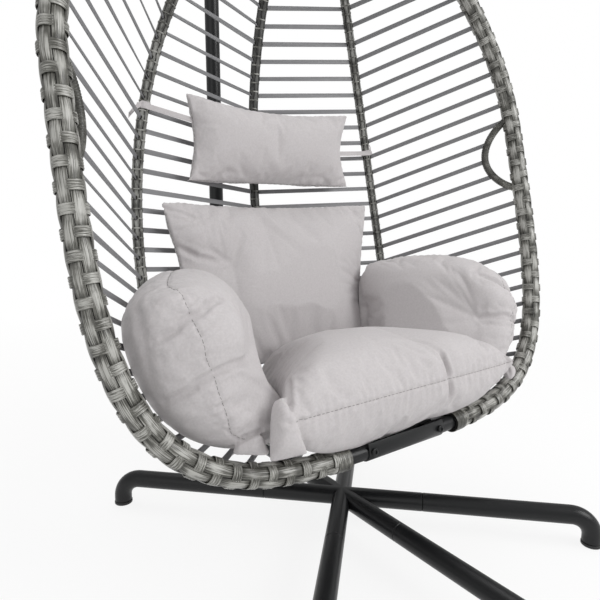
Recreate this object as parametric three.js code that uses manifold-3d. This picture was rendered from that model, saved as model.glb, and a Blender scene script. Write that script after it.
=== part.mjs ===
// Hanging egg chair on a C-shaped stand.
// Millimetres, +Z up, -Y is the chair's open front.
// Origin: on the floor, at the middle of the footprint, under the crossing of the base tubes.
import * as THREE from 'three';
import { mergeVertices } from 'three/addons/utils/BufferGeometryUtils.js';
import Module from 'manifold-3d';

const wasm = await Module();
wasm.setup();

// ---------- driving dimensions ----------
const seatGap = 0.3; // gap kept between pieces that touch

// stand
const baseTubeRadius = 19;
const baseTubeHeight = 62; // centre line of the base tubes above the floor
const armAngle = 45; // crossing arms, degrees from the X axis
const armReach = 512; // crossing to the centre of a foot
const hubReach = 171; // crossing to the seam where an arm plugs in
const footBendRadius = 44;
const spigotRadius = 15.5;
const spigotLength = 55;
const spigotPlay = 0.6;
const capHeight = 7; // plastic cap under each foot
const capPlugLength = 14;
const tubeWall = 2;

// post
const postRadius = 19;
const postRearReach = 561; // crossing to the centre line of the upright
const postBendRadius = 260;
const postSeamHeight = 960; // where the upper tube plugs into the lower one
const postTopBendRadius = 330;
const postOverhang = 34; // post end past the hang axis
const rearSpineReach = 200; // crossing to the seam of the post in the hub
const postBack = postRadius * Math.cos(Math.PI / 12); // flat to centre of the twelve-sided tube
const frontArmReach = postRearReach + postBack - baseTubeRadius - 1;

// basket frame
const basketFront = -171; // bottom middle of the rim
const basketBottom = 253;
const basketLean = 12.9; // the rim's long axis leans back, degrees
const basketHeight = 1145; // along that axis
const rimHalfWidth = 531;
const rimWidestAt = 640; // height of the widest place along the axis
const rimLowerPower = 4.1; // squareness of the outline below and above that place
const rimUpperPower = 1.9;
const rimSweepBack = 1.75; // each half of the rim swings back a little, degrees
const rimWrapRadius = 21;
const rimTubeRadius = 12.5;
const wrapPlay = 3; // between the rim's tube and its wrap
const wrapStart = 137; // bare tube end to the middle of the rim
const rimTubeStart = 45;
const sideRibAngle = 45; // azimuth of the side ribs, degrees from the rim's plane
const sideRibReach = 476;
const backRibReach = 420;
const ribWidestAt = 370;
const ribLowerPower = 2.9;
const ribUpperPower = 2;
const ribRadius = 10.5;
const ribStart = 78; // distance of a rib's ends from the basket's axis

// brackets that join the rim halves
const channelHalfLength = 98;
const channelInnerWidth = 27;
const channelWall = 3;
const channelDepth = 33;
const channelBolt = 87; // bolt to the middle
const boltRadius = 4;
const boltHeadRadius = 7;
const boltHeadHeight = 4;
const ribPlateLength = 66;
const ribPlateWidth = 70;
const ribPlateThickness = 5;
const ribBoltInset = 14; // rib's end to its bolt

// straps
const strapRows = 38;
const rimRowLead = 0.027; // mid-height rows climb this share of the rim's length further on the rim
const strapWidth = 10;
const strapThickness = 2.4;
const strapClearance = 0.4;
const leastSlant = 0.3; // sine of the flattest angle at which a strap meets a tube

// hand grips
const gripLow = 490; // place of the grip's ends along the rim's axis
const gripHigh = 672;
const gripDepth = 82;
const gripRadius = 8;

// hanging gear
const eyeRadius = 17;
const eyeWire = 5;
const hookWire = 5;
const springRadius = 22;
const springWire = 4.2;
const springTurns = 16;
const springCoilGap = 1;
const springLoop = 13;
const springShoulder = 8; // straight wire between a loop and the coil
const eyeForward = 12; // the basket's eye stands this far in front of the rim's top
const upperHook = { radius: 15, stretch: 17 };
const lowerHook = { radius: 15, stretch: 38.5 };
const swivelRing = 13;
const barrel = { radius: 12, neck: 5, head: 8, height: 26, floor: 5, roof: 8, stem: 12 };

// cushions; across, back and height are measured in the basket's leaning frame,
// middleShare is a share of its height and standOff the gap from the back rib's face to the cushion's
const cushionClearance = -11.5; // the wall's straps run behind the line from rim to rib
const seat = {
  width: 620, rearWidth: 250, taper: 1.8, depth: 372, thickness: 164, back: 112.6, height: 100.4,
  rise: 20, drawn: 0.04, fullness: 6,
};
const arm = {
  wallShare: 0.98, wallStart: 0.01, low: 48, highFront: 322, highRear: 392, thickness: 160, fullness: 6,
  rounded: 0.3, rearSkew: 0.165,
};
const backCushion = {
  width: 575, lowWidth: 430, height: 354, thickness: 98, standOff: 15, middleShare: 0.303, bow: 33,
  drawn: 0.02, fullness: 3, shift: -5,
};
const headPillow = {
  width: 455, lowWidth: 455, height: 182, thickness: 92, standOff: 8.3, middleShare: 0.574, bow: 31,
  drawn: 0.1, fullness: 3, shift: 4,
};

// ---------- small helpers ----------
const rad = THREE.MathUtils.degToRad;
const v3 = (x, y, z) => new THREE.Vector3(x, y, z);

const finishes = {
  blackSteel: { color: 0x1b1c1e, roughness: 0.45, metalness: 0.6 },
  rattan: { color: 0x77756d, roughness: 0.6, metalness: 0 },
  strap: { color: 0x77777a, roughness: 0.55, metalness: 0 },
  fabric: { color: 0xc9c4c3, roughness: 0.95, metalness: 0 },
  plastic: { color: 0x17181a, roughness: 0.6, metalness: 0 },
  zinc: { color: 0x9a9da0, roughness: 0.35, metalness: 0.9 },
};

const object = new THREE.Group();

function addPiece(name, geometry, finish) {
  const piece = new THREE.Mesh(geometry, new THREE.MeshStandardMaterial(finishes[finish]));
  piece.name = name;
  object.add(piece);
  return piece;
}

function welded(geometry) {
  const bare = geometry.clone();
  for (const key of Object.keys(bare.attributes)) {
    if (key !== 'position') bare.deleteAttribute(key);
  }
  return mergeVertices(bare, 1e-4);
}

function toSolid(geometry) {
  const merged = welded(geometry);
  return new wasm.Manifold(new wasm.Mesh({
    numProp: 3,
    vertProperties: new Float32Array(merged.attributes.position.array),
    triVerts: new Uint32Array(merged.index.array),
  }));
}

function toGeometry(solid) {
  const mesh = solid.getMesh();
  const geometry = new THREE.BufferGeometry();
  geometry.setAttribute('position', new THREE.BufferAttribute(new Float32Array(mesh.vertProperties), 3));
  geometry.setIndex(new THREE.BufferAttribute(new Uint32Array(mesh.triVerts), 1));
  geometry.computeVertexNormals();
  return geometry;
}

function joined(...geometries) {
  return toGeometry(geometries.map(toSolid).reduce((a, b) => a.add(b)));
}

function cut(base, ...tools) {
  return toGeometry(tools.map(toSolid).reduce((a, b) => a.subtract(b), toSolid(base)));
}

function ringShape(radius, sides, boreRadius = 0) {
  const ring = (r) => Array.from({ length: sides }, (_, i) => {
    const turn = ((i + 0.5) * 2 * Math.PI) / sides;
    return new THREE.Vector2(r * Math.cos(turn), r * Math.sin(turn));
  });
  const shape = new THREE.Shape(ring(radius));
  if (boreRadius > 0) shape.holes.push(new THREE.Path(ring(boreRadius).reverse()));
  return shape;
}

function sweep(shape, curve, steps) {
  return new THREE.ExtrudeGeometry(shape, { steps, extrudePath: curve, bevelEnabled: false });
}

// curve through listed points, with one ring of a tube on each of them
class Route extends THREE.Curve {
  constructor(points) {
    super();
    this.points = points;
  }

  getPoint(t) {
    const place = t * (this.points.length - 1);
    const i = Math.min(Math.floor(place), this.points.length - 2);
    return this.points[i].clone().lerp(this.points[i + 1], place - i);
  }

  getPointAt(t) {
    return this.getPoint(t);
  }

  getTangent(t) {
    const i = Math.round(t * (this.points.length - 1));
    const before = this.points[Math.max(i - 1, 0)];
    const after = this.points[Math.min(i + 1, this.points.length - 1)];
    return after.clone().sub(before).normalize();
  }

  getTangentAt(t) {
    return this.getTangent(t);
  }
}

function tube(points, radius, sides, boreRadius = 0) {
  return sweep(ringShape(radius, sides, boreRadius), new Route(points), points.length - 1);
}

function rod(from, to, radius, sides = 12) {
  const length = from.distanceTo(to);
  const geometry = new THREE.CylinderGeometry(radius, radius, length, sides);
  const turn = new THREE.Quaternion().setFromUnitVectors(v3(0, 1, 0), to.clone().sub(from).normalize());
  geometry.applyQuaternion(turn);
  const middle = from.clone().add(to).multiplyScalar(0.5);
  geometry.translate(middle.x, middle.y, middle.z);
  return geometry;
}

// points of a quarter bend from direction a to direction b, round a corner
function bend(corner, a, b, radius, steps) {
  const start = corner.clone().addScaledVector(a, -radius);
  const centre = start.clone().addScaledVector(b, radius);
  return Array.from({ length: steps + 1 }, (_, i) => {
    const turn = (i / steps) * (Math.PI / 2);
    const across = centre.clone().addScaledVector(b, -radius * Math.cos(turn));
    return across.addScaledVector(a, radius * Math.sin(turn));
  });
}

// ---------- stand: base ----------
const zBase = v3(0, 0, baseTubeHeight);
const down = v3(0, 0, -1);
const footTop = capHeight + seatGap;
const armHeadings = {
  front_right: rad(-armAngle),
  rear_right: rad(armAngle),
  rear_left: Math.PI - rad(armAngle),
  front_left: Math.PI + rad(armAngle),
};
const spigotBore = spigotRadius + spigotPlay;
const flatOf = (heading) => v3(Math.cos(heading), Math.sin(heading), 0);

function plugBore(seam, along, radius) {
  const inside = seam.clone().addScaledVector(along, -spigotLength - seatGap);
  return rod(inside, seam.clone().addScaledVector(along, 1), radius);
}

function baseArm(heading, reach) {
  const along = flatOf(heading);
  const seam = zBase.clone().addScaledVector(along, hubReach + seatGap);
  const foot = zBase.clone().addScaledVector(along, reach);
  const round = bend(foot, along, down, footBendRadius, 5);
  const lowest = foot.clone().setZ(footTop);
  const body = tube([seam, ...round, lowest], baseTubeRadius, 12);
  const inHub = seam.clone().addScaledVector(along, -spigotLength);
  const spigot = rod(inHub, seam.clone().addScaledVector(along, 2), spigotRadius);
  const socketTop = lowest.clone().setZ(footTop + capPlugLength + seatGap);
  const socket = rod(lowest.clone().setZ(footTop - 1), socketTop, baseTubeRadius - tubeWall);
  return cut(joined(body, spigot), socket);
}

function footCap(heading, reach) {
  const foot = flatOf(heading).multiplyScalar(reach);
  const top = capHeight + capPlugLength;
  const plug = baseTubeRadius - tubeWall - spigotPlay;
  const rim = baseTubeRadius + 1;
  const profile = [
    [0, 0], [rim - 2, 0], [rim, 2], [rim, capHeight], [plug, capHeight], [plug, top], [0, top],
  ];
  const geometry = new THREE.LatheGeometry(profile.map(([x, y]) => new THREE.Vector2(x, y)), 12);
  geometry.rotateX(Math.PI / 2);
  geometry.translate(foot.x, foot.y, 0);
  return geometry;
}

const frontHeading = -Math.PI / 2;
for (const [place, heading] of Object.entries(armHeadings)) {
  addPiece(`base_arm_${place}`, baseArm(heading, armReach), 'blackSteel');
  addPiece(`foot_cap_${place}`, footCap(heading, armReach), 'plastic');
}
addPiece('base_arm_front', baseArm(frontHeading, frontArmReach), 'blackSteel');
addPiece('foot_cap_front', footCap(frontHeading, frontArmReach), 'plastic');

const rearSeam = zBase.clone().setY(rearSpineReach);
function baseHub() {
  const ends = Object.values(armHeadings).map((h) => zBase.clone().addScaledVector(flatOf(h), hubReach));
  const frontEnd = zBase.clone().setY(-hubReach);
  const blank = joined(
    rod(ends[0], ends[2], baseTubeRadius),
    rod(ends[1], ends[3], baseTubeRadius),
    rod(frontEnd, rearSeam, baseTubeRadius),
  );
  const bores = Object.values(armHeadings).map((h, i) => plugBore(ends[i], flatOf(h), spigotBore));
  bores.push(plugBore(frontEnd, v3(0, -1, 0), spigotBore), plugBore(rearSeam, v3(0, 1, 0), spigotBore));
  return cut(blank, ...bores);
}
addPiece('base_hub', baseHub(), 'blackSteel');

// ---------- basket: outline curves ----------
const lean = rad(basketLean);
const axisUp = v3(0, Math.sin(lean), Math.cos(lean));
const axisBack = v3(0, Math.cos(lean), -Math.sin(lean));
const basketFoot = v3(0, basketFront, basketBottom);

function basketPoint(height, across, back) {
  const level = basketFoot.clone().addScaledVector(axisUp, height);
  return level.add(v3(across, 0, 0)).addScaledVector(axisBack, back);
}

// egg outline as {height, reach} points, dense, from the foot to the top
function eggOutline({ reach, widest, low, high }) {
  const count = 600;
  return Array.from({ length: count + 1 }, (_, i) => {
    const turn = (i / count - 0.5) * Math.PI;
    const c = Math.abs(Math.cos(turn));
    const s = Math.abs(Math.sin(turn));
    const power = turn < 0 ? low : high;
    const span = turn < 0 ? -widest : basketHeight - widest;
    return { reach: reach * c ** (2 / power), height: widest + span * s ** (2 / power) };
  });
}

// part of an outline between two reaches, with its running length
function outlineBetween(outline, start, end) {
  const middle = outline.length / 2;
  const kept = outline.filter((p, i) => (i < middle ? p.reach >= start : p.reach >= end));
  let length = 0;
  return kept.map((p, i) => {
    if (i > 0) length += Math.hypot(p.reach - kept[i - 1].reach, p.height - kept[i - 1].height);
    return { ...p, length };
  });
}

function atLength(outline, length) {
  const i = Math.min(Math.max(outline.findIndex((p) => p.length >= length), 1), outline.length - 1);
  const a = outline[i - 1];
  const b = outline[i];
  const share = (length - a.length) / (b.length - a.length);
  return { reach: a.reach + (b.reach - a.reach) * share, height: a.height + (b.height - a.height) * share };
}

const total = (outline) => outline[outline.length - 1].length;
function evenly(outline, count) {
  return Array.from({ length: count + 1 }, (_, i) => atLength(outline, (total(outline) * i) / count));
}

const rimOutline = eggOutline({
  reach: rimHalfWidth, widest: rimWidestAt, low: rimLowerPower, high: rimUpperPower,
});
const ribForm = { widest: ribWidestAt, low: ribLowerPower, high: ribUpperPower };
const sideOutline = eggOutline({ reach: sideRibReach, ...ribForm });
const backOutline = eggOutline({ reach: backRibReach, ...ribForm });

// places on the frame; side is -1 for the chair's left in the photograph, 1 for its right
const sweepBack = Math.tan(rad(rimSweepBack));
const sideRibTurn = rad(sideRibAngle);

function rimPoint(p, side) {
  return basketPoint(p.height, side * p.reach, Math.max(p.reach - channelHalfLength, 0) * sweepBack);
}

function sideRibPoint(p, side) {
  return basketPoint(p.height, side * p.reach * Math.cos(sideRibTurn), p.reach * Math.sin(sideRibTurn));
}

function backRibPoint(p) {
  return basketPoint(p.height, 0, p.reach);
}

// ---------- hanging gear: heights from the basket's eye up to the post ----------
const bite = eyeWire + hookWire + seatGap; // height lost where two links cross
const channelOuter = channelInnerWidth / 2 + channelWall;
const rimTop = basketPoint(basketHeight, 0, 0);
const hangReach = rimTop.y - eyeForward; // crossing of the base to the hang axis, towards the rear
const hangAxis = (z) => v3(0, hangReach, z);
const basketEye = hangAxis(rimTop.z + Math.sqrt(channelOuter ** 2 - eyeForward ** 2) + eyeRadius - 1);
const lowerHookBottom = basketEye.z + eyeRadius - bite;
const lowerHookTop = lowerHookBottom + 2 * (lowerHook.radius + lowerHook.stretch);
const springBottomWire = lowerHookTop - hookWire - springWire - seatGap;
const loopDrop = 2 * springLoop + springShoulder; // a loop's outer wire to the coil
const coilLength = springTurns * (2 * springWire + springCoilGap);
const coilBottom = springBottomWire + loopDrop;
const coilTop = coilBottom + coilLength;
const springTopWire = coilTop + loopDrop;
const lowerRingMiddle = springTopWire - springWire - hookWire - seatGap + swivelRing;
const barrelTop = lowerRingMiddle + swivelRing + barrel.stem + barrel.height;
const swivelRingMiddle = barrelTop + 2 + swivelRing;
const upperHookMiddle = swivelRingMiddle + swivelRing - bite + upperHook.radius + upperHook.stretch;
const standEye = hangAxis(upperHookMiddle + upperHook.stretch + upperHook.radius - bite + eyeRadius);
const postTopHeight = standEye.z + eyeRadius - 1 + postRadius; // centre line of the top run

// ---------- stand: post ----------
const yBack = v3(0, 1, 0);
const up = v3(0, 0, 1);
const postSeam = v3(0, postRearReach, postSeamHeight);

function lowerPost() {
  const start = rearSeam.clone().setY(rearSpineReach + seatGap);
  const round = bend(v3(0, postRearReach, baseTubeHeight), yBack, up, postBendRadius, 8);
  const body = tube([start, ...round, postSeam], postRadius, 12);
  const inHub = start.clone().setY(rearSpineReach - spigotLength);
  const spigot = rod(inHub, start.clone().setY(start.y + 2), spigotRadius);
  return cut(joined(body, spigot), plugBore(postSeam, up, postRadius - tubeWall));
}

const postEnd = v3(0, hangReach - postOverhang, postTopHeight);
function upperPost() {
  const start = postSeam.clone().setZ(postSeamHeight + seatGap);
  const round = bend(v3(0, postRearReach, postTopHeight), up, v3(0, -1, 0), postTopBendRadius, 9);
  const body = tube([start, ...round, postEnd], postRadius, 12);
  const inLower = postSeam.clone().setZ(postSeamHeight - spigotLength);
  const neck = rod(inLower, start.clone().setZ(start.z + 2), postRadius - tubeWall - spigotPlay);
  return joined(body, neck);
}
addPiece('lower_post', lowerPost(), 'blackSteel');

// round or drawn-out ring of wire, standing in the X-Z plane until it is turned
function ringLink(radius, wire, centre, quarterTurn, stretch = 0) {
  const ring = new THREE.TorusGeometry(radius, wire, 6, 16);
  ring.rotateX(Math.PI / 2);
  const place = ring.attributes.position;
  for (let i = 0; i < place.count; i += 1) {
    const z = place.getZ(i);
    if (Math.abs(z) > 0.01) place.setZ(i, z + Math.sign(z) * stretch);
  }
  if (quarterTurn) ring.rotateZ(Math.PI / 2);
  ring.translate(centre.x, centre.y, centre.z);
  return ring;
}

addPiece('upper_post', joined(upperPost(), ringLink(eyeRadius, eyeWire, standEye, true)), 'blackSteel');

function endCap() {
  const radius = postRadius + 1;
  const plug = postRadius - tubeWall;
  const profile = [[0, 0], [plug, 0], [radius, 1], [radius, 3], [radius - 3, 6], [0, 6]];
  const geometry = new THREE.LatheGeometry(profile.map(([x, y]) => new THREE.Vector2(x, y)), 12);
  geometry.rotateX(Math.PI);
  geometry.translate(0, postEnd.y - seatGap, postEnd.z);
  return geometry;
}
addPiece('post_end_cap', endCap(), 'plastic');

// ---------- hanging gear, from the post's eye down ----------
const upperLink = ringLink(upperHook.radius, hookWire, hangAxis(upperHookMiddle), false, upperHook.stretch);
addPiece('upper_hook', upperLink, 'zinc');

function turned(profile) {
  const geometry = new THREE.LatheGeometry(profile.map(([x, y]) => new THREE.Vector2(x, y)), 12);
  geometry.rotateX(Math.PI / 2);
  geometry.translate(0, hangReach, 0);
  return geometry;
}

function swivelUpper() {
  const bottom = barrelTop - barrel.height;
  const roof = barrelTop - barrel.roof;
  const floor = bottom + barrel.floor;
  const bore = barrel.neck + seatGap;
  const chamber = barrel.head + seatGap;
  const shell = turned([[0, roof], [chamber, roof], [chamber, floor], [bore, floor], [bore, bottom],
    [barrel.radius, bottom], [barrel.radius, barrelTop], [0, barrelTop]]);
  return joined(shell, ringLink(swivelRing, hookWire, hangAxis(swivelRingMiddle), true));
}

function swivelLower() {
  const roof = barrelTop - barrel.roof - seatGap;
  const floor = barrelTop - barrel.height + barrel.floor + seatGap;
  const stem = turned([[0, lowerRingMiddle + swivelRing], [barrel.neck, lowerRingMiddle + swivelRing],
    [barrel.neck, floor], [barrel.head, floor], [barrel.head, roof], [0, roof]]);
  return joined(stem, ringLink(swivelRing, hookWire, hangAxis(lowerRingMiddle), true));
}
addPiece('swivel_barrel', swivelUpper(), 'zinc');
addPiece('swivel_pin', swivelLower(), 'zinc');

// extension spring: one wire with a loop at each end
function springPoints() {
  const loop = (middle, sense) => Array.from({ length: 9 }, (_, i) => {
    const turn = rad(-30 + i * 30);
    return v3(springLoop * Math.cos(turn), hangReach, middle + sense * springLoop * Math.sin(turn));
  });
  const steps = springTurns * 8;
  const coil = Array.from({ length: steps + 1 }, (_, i) => {
    const turn = (i / 8) * 2 * Math.PI;
    const z = coilTop - (i / steps) * coilLength;
    return v3(springRadius * Math.cos(turn), hangReach + springRadius * Math.sin(turn), z);
  });
  const topLoop = loop(springTopWire - springLoop, 1).reverse();
  const bottomLoop = loop(springBottomWire + springLoop, -1);
  return [...topLoop, ...coil, ...bottomLoop];
}

function leastSelfGap(points, radius, apart) {
  let least = Infinity;
  for (let i = 0; i < points.length; i += 1) {
    for (let k = i + apart; k < points.length; k += 1) {
      least = Math.min(least, points[i].distanceTo(points[k]));
    }
  }
  return least - 2 * radius;
}
const springRoute = springPoints();
console.log('least gap of the spring to itself, mm:', leastSelfGap(springRoute, springWire, 6).toFixed(2));
addPiece('hanging_spring', tube(springRoute, springWire, 5), 'zinc');

// ---------- basket: brackets at the foot and the top ----------
// a bracket's own frame: X across, Y back, Z away from the basket's middle
function bracketFrame(top) {
  const away = axisUp.clone().multiplyScalar(top ? 1 : -1);
  const across = axisBack.clone().cross(away);
  const place = basketPoint(top ? basketHeight : 0, 0, 0);
  return new THREE.Matrix4().makeBasis(across, axisBack, away).setPosition(place);
}

function channelShape() {
  const inner = channelInnerWidth / 2;
  const outer = inner + channelWall;
  const lip = channelDepth - outer;
  const shape = new THREE.Shape();
  shape.moveTo(-outer, -lip);
  shape.lineTo(-inner, -lip);
  shape.lineTo(-inner, 0);
  const arc = (radius, i) => {
    const turn = (i / 8) * Math.PI;
    shape.lineTo(-radius * Math.cos(turn), radius * Math.sin(turn));
  };
  for (let i = 1; i < 8; i += 1) arc(inner, i);
  shape.lineTo(inner, 0);
  shape.lineTo(inner, -lip);
  shape.lineTo(outer, -lip);
  shape.lineTo(outer, 0);
  for (let i = 7; i > 0; i -= 1) arc(outer, i);
  shape.lineTo(-outer, 0);
  return shape;
}

const ribFoot = ribRadius + seatGap; // height of the rib plate's face off the ribs' centre lines
const ribBoltReach = ribStart + ribBoltInset;
const ribBoltRadius = 3;
const ribBoltHeadRadius = 6;
const ribTurns = { left: Math.PI - sideRibTurn, back: Math.PI / 2, right: sideRibTurn };
const ribEnd = (turn) => v3(ribBoltReach * Math.cos(turn), ribBoltReach * Math.sin(turn), 0);

function bracket(top) {
  const run = { depth: 2 * channelHalfLength, bevelEnabled: false };
  const channel = new THREE.ExtrudeGeometry(channelShape(), run);
  channel.translate(0, 0, -channelHalfLength);
  channel.applyMatrix4(new THREE.Matrix4().makeBasis(v3(0, 1, 0), v3(0, 0, 1), v3(1, 0, 0)));
  const inner = channelInnerWidth / 2;
  const reach = ribPlateLength + inner;
  const plateRoot = Math.sqrt((inner + channelWall / 2) ** 2 - ribFoot ** 2); // in the channel's round wall
  const plateShape = new THREE.Shape([[-ribPlateWidth / 2, plateRoot], [ribPlateWidth / 2, plateRoot],
    [ribPlateWidth, reach * 0.75], [ribPlateWidth * 0.8, reach + 8], [-ribPlateWidth * 0.8, reach + 8],
    [-ribPlateWidth, reach * 0.75]].map(([x, y]) => new THREE.Vector2(x, y)));
  const plate = new THREE.ExtrudeGeometry(plateShape, { depth: ribPlateThickness, bevelEnabled: false });
  plate.translate(0, 0, ribFoot);
  let blank = joined(channel, plate);
  const through = v3(0, channelInnerWidth, 0);
  const holes = [-channelBolt, channelBolt].map((x) => {
    const middle = v3(x, 0, 0);
    return rod(middle.clone().sub(through), middle.clone().add(through), boltRadius + seatGap);
  });
  for (const turn of Object.values(ribTurns)) {
    const at = ribEnd(turn);
    const above = at.clone().setZ(ribFoot + 2 * ribPlateThickness);
    holes.push(rod(at.clone().setZ(0), above, ribBoltRadius + seatGap));
  }
  blank = cut(blank, ...holes);
  blank.applyMatrix4(bracketFrame(top));
  return blank;
}

addPiece('bottom_bracket', bracket(false), 'blackSteel');
addPiece('top_bracket', joined(bracket(true), ringLink(eyeRadius, eyeWire, basketEye, false)), 'blackSteel');

const lowerHookMiddle = hangAxis((lowerHookTop + lowerHookBottom) / 2);
const lowerLink = ringLink(lowerHook.radius, hookWire, lowerHookMiddle, true, lowerHook.stretch);
addPiece('lower_hook', lowerLink, 'zinc');

// ---------- basket: bolts and nuts ----------
function bolt(from, to, radius, headRadius, headHeight) {
  const along = to.clone().sub(from).normalize();
  const headTop = from.clone().addScaledVector(along, -headHeight);
  const head = rod(headTop, from.clone().addScaledVector(along, 0.01), headRadius);
  return joined(rod(from, to, radius, 8), head);
}

function nut(centre, along, radius, acrossRadius, height) {
  const place = (step) => centre.clone().addScaledVector(along, step);
  return cut(rod(place(0), place(height), acrossRadius, 6), rod(place(-1), place(height + 1), radius));
}

for (const top of [false, true]) {
  const frame = bracketFrame(top);
  const level = top ? 'upper' : 'lower';
  const backward = axisBack.clone();
  for (const side of [-1, 1]) {
    const place = side * (top ? -1 : 1) < 0 ? 'left' : 'right';
    const x = side * channelBolt * -1;
    const from = v3(x, -channelOuter - seatGap, 0).applyMatrix4(frame);
    const to = v3(x, channelOuter + 9, 0).applyMatrix4(frame);
    const nutAt = v3(x, channelOuter + seatGap, 0).applyMatrix4(frame);
    const rimBolt = bolt(from, to, boltRadius, boltHeadRadius, boltHeadHeight);
    const rimNut = nut(nutAt, backward, boltRadius + seatGap, boltHeadRadius, 6);
    addPiece(`rim_bolt_${level}_${place}`, rimBolt, 'blackSteel');
    addPiece(`rim_nut_${level}_${place}`, rimNut, 'zinc');
  }
}

for (const top of [false, true]) {
  const level = top ? 'upper' : 'lower';
  for (const [place, turn] of Object.entries(ribTurns)) {
    const at = (z) => ribEnd(top ? Math.PI - turn : turn).setZ(z).applyMatrix4(bracketFrame(top));
    const ends = [at(ribFoot + ribPlateThickness + seatGap), at(-ribRadius - 3)];
    addPiece(`rib_bolt_${level}_${place}`, bolt(...ends, ribBoltRadius, ribBoltHeadRadius, 3), 'blackSteel');
  }
}

// ---------- basket: rim halves ----------
const wrapOutline = outlineBetween(rimOutline, wrapStart, wrapStart);
const tubeOutline = outlineBetween(rimOutline, rimTubeStart, rimTubeStart);
const rimSteps = 26;
const sides = { left: -1, right: 1 };

for (const [place, side] of Object.entries(sides)) {
  const corePoints = evenly(tubeOutline, rimSteps).map((p) => rimPoint(p, side));
  const boltHoles = [0, basketHeight].map((height) => {
    const at = basketPoint(height, side * channelBolt, 0);
    const reach = axisBack.clone().multiplyScalar(rimTubeRadius + tubeWall);
    return rod(at.clone().sub(reach), at.clone().add(reach), boltRadius + seatGap, 8);
  });
  const core = tube(corePoints, rimTubeRadius, 8, rimTubeRadius - tubeWall);
  addPiece(`rim_tube_${place}`, cut(core, ...boltHoles), 'blackSteel');
  const wrapPoints = evenly(wrapOutline, rimSteps).map((p) => rimPoint(p, side));
  addPiece(`rim_wrap_${place}`, tube(wrapPoints, rimWrapRadius, 8, rimTubeRadius + wrapPlay), 'rattan');
}

// ---------- basket: ribs ----------
const ribSteps = 24;
const sideRibOutline = outlineBetween(sideOutline, ribStart, ribStart);
const backRibOutline = outlineBetween(backOutline, ribStart, ribStart);
const ribRoutes = {
  left: { outline: sideRibOutline, place: (p) => sideRibPoint(p, -1) },
  back: { outline: backRibOutline, place: backRibPoint },
  right: { outline: sideRibOutline, place: (p) => sideRibPoint(p, 1) },
};

for (const [name, rib] of Object.entries(ribRoutes)) {
  const points = evenly(rib.outline, ribSteps).map(rib.place);
  const turn = ribTurns[name];
  const holes = [0, basketHeight].map((height) => {
    const at = basketPoint(height, ribBoltReach * Math.cos(turn), ribBoltReach * Math.sin(turn));
    const across = axisUp.clone().multiplyScalar(ribRadius + 12);
    return rod(at.clone().sub(across), at.clone().add(across), ribBoltRadius + seatGap, 8);
  });
  addPiece(`rib_${name}`, cut(tube(points, ribRadius, 8), ...holes), 'rattan');
}

// ---------- basket: hand grips ----------
function heightToLength(outline, height) {
  const i = outline.findIndex((p) => p.height >= height);
  return outline[i].length;
}
const gripSpan = [gripLow, gripHigh].map((height) => heightToLength(wrapOutline, height));

// unit vector from the rim towards the side rib at the same share of their lengths
function inward(length, side) {
  const share = length / total(wrapOutline);
  const from = rimPoint(atLength(wrapOutline, length), side);
  const to = sideRibPoint(atLength(sideRibOutline, share * total(sideRibOutline)), side);
  return to.sub(from).normalize();
}

// how far the grip's centre line stands off the rim's, at a length along the rim
function gripStandOff(length) {
  const share = (length - gripSpan[0]) / (gripSpan[1] - gripSpan[0]);
  if (share <= 0 || share >= 1) return 0;
  return (gripDepth - gripRadius) * Math.sin(Math.PI * share) ** 0.62;
}

function gripPoints(side) {
  const count = 14;
  return Array.from({ length: count + 1 }, (_, i) => {
    const share = (1 - Math.cos((Math.PI * i) / count)) / 2;
    const length = gripSpan[0] + (gripSpan[1] - gripSpan[0]) * share;
    const at = rimPoint(atLength(wrapOutline, length), side);
    return at.addScaledVector(inward(length, side), gripStandOff(length));
  });
}

for (const [place, side] of Object.entries(sides)) {
  const near = evenly(wrapOutline, rimSteps).map((p) => rimPoint(p, side));
  const seat = tube(near, rimWrapRadius + seatGap, 8);
  addPiece(`hand_grip_${place}`, cut(tube(gripPoints(side), gripRadius, 8), seat), 'rattan');
}

// ---------- basket: straps ----------
// one unbroken flat strip for each panel: a row out, a step along the frame, a row back
const railOffset = (radius) => radius + strapClearance + strapWidth / 2;
const rimStandOff = (length) => {
  const beside = gripRadius + strapWidth;
  const grip = Math.max(...[-beside, 0, beside].map((step) => gripStandOff(length + step)));
  return Math.max(railOffset(rimWrapRadius), grip > 0 ? grip + railOffset(gripRadius) : 0);
};
const rimRail = (side) => ({
  outline: wrapOutline, place: (p) => rimPoint(p, side), offset: rimStandOff, lead: rimRowLead,
});
const ribRail = (name) => ({ ...ribRoutes[name], offset: () => railOffset(ribRadius), lead: 0 });

// place, direction and stand-off of a rail at a share of its length
function railAt(rail, share) {
  const length = (share + 4 * rail.lead * share * (1 - share)) * total(rail.outline);
  const nearby = 4;
  const at = rail.place(atLength(rail.outline, length));
  const before = rail.place(atLength(rail.outline, length - nearby));
  const tangent = rail.place(atLength(rail.outline, length + nearby)).sub(before);
  return { at, tangent: tangent.normalize(), offset: rail.offset(length) };
}

// the strap's end stands clear of the tube also where it meets it at a slant
function clearOf(rail, along) {
  const slant = Math.sqrt(1 - rail.tangent.dot(along) ** 2);
  return rail.offset / Math.max(slant, leastSlant);
}

function strapRoute(railA, railB) {
  const points = [];
  for (let k = 0; k < strapRows; k += 1) {
    const share = (k + 0.5) / strapRows;
    const a = railAt(railA, share);
    const b = railAt(railB, share);
    const along = b.at.clone().sub(a.at).normalize();
    const start = a.at.clone().addScaledVector(along, clearOf(a, along));
    const end = b.at.clone().addScaledVector(along, -clearOf(b, along));
    points.push(...(k % 2 ? [end, start] : [start, end]));
  }
  return points;
}

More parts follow.
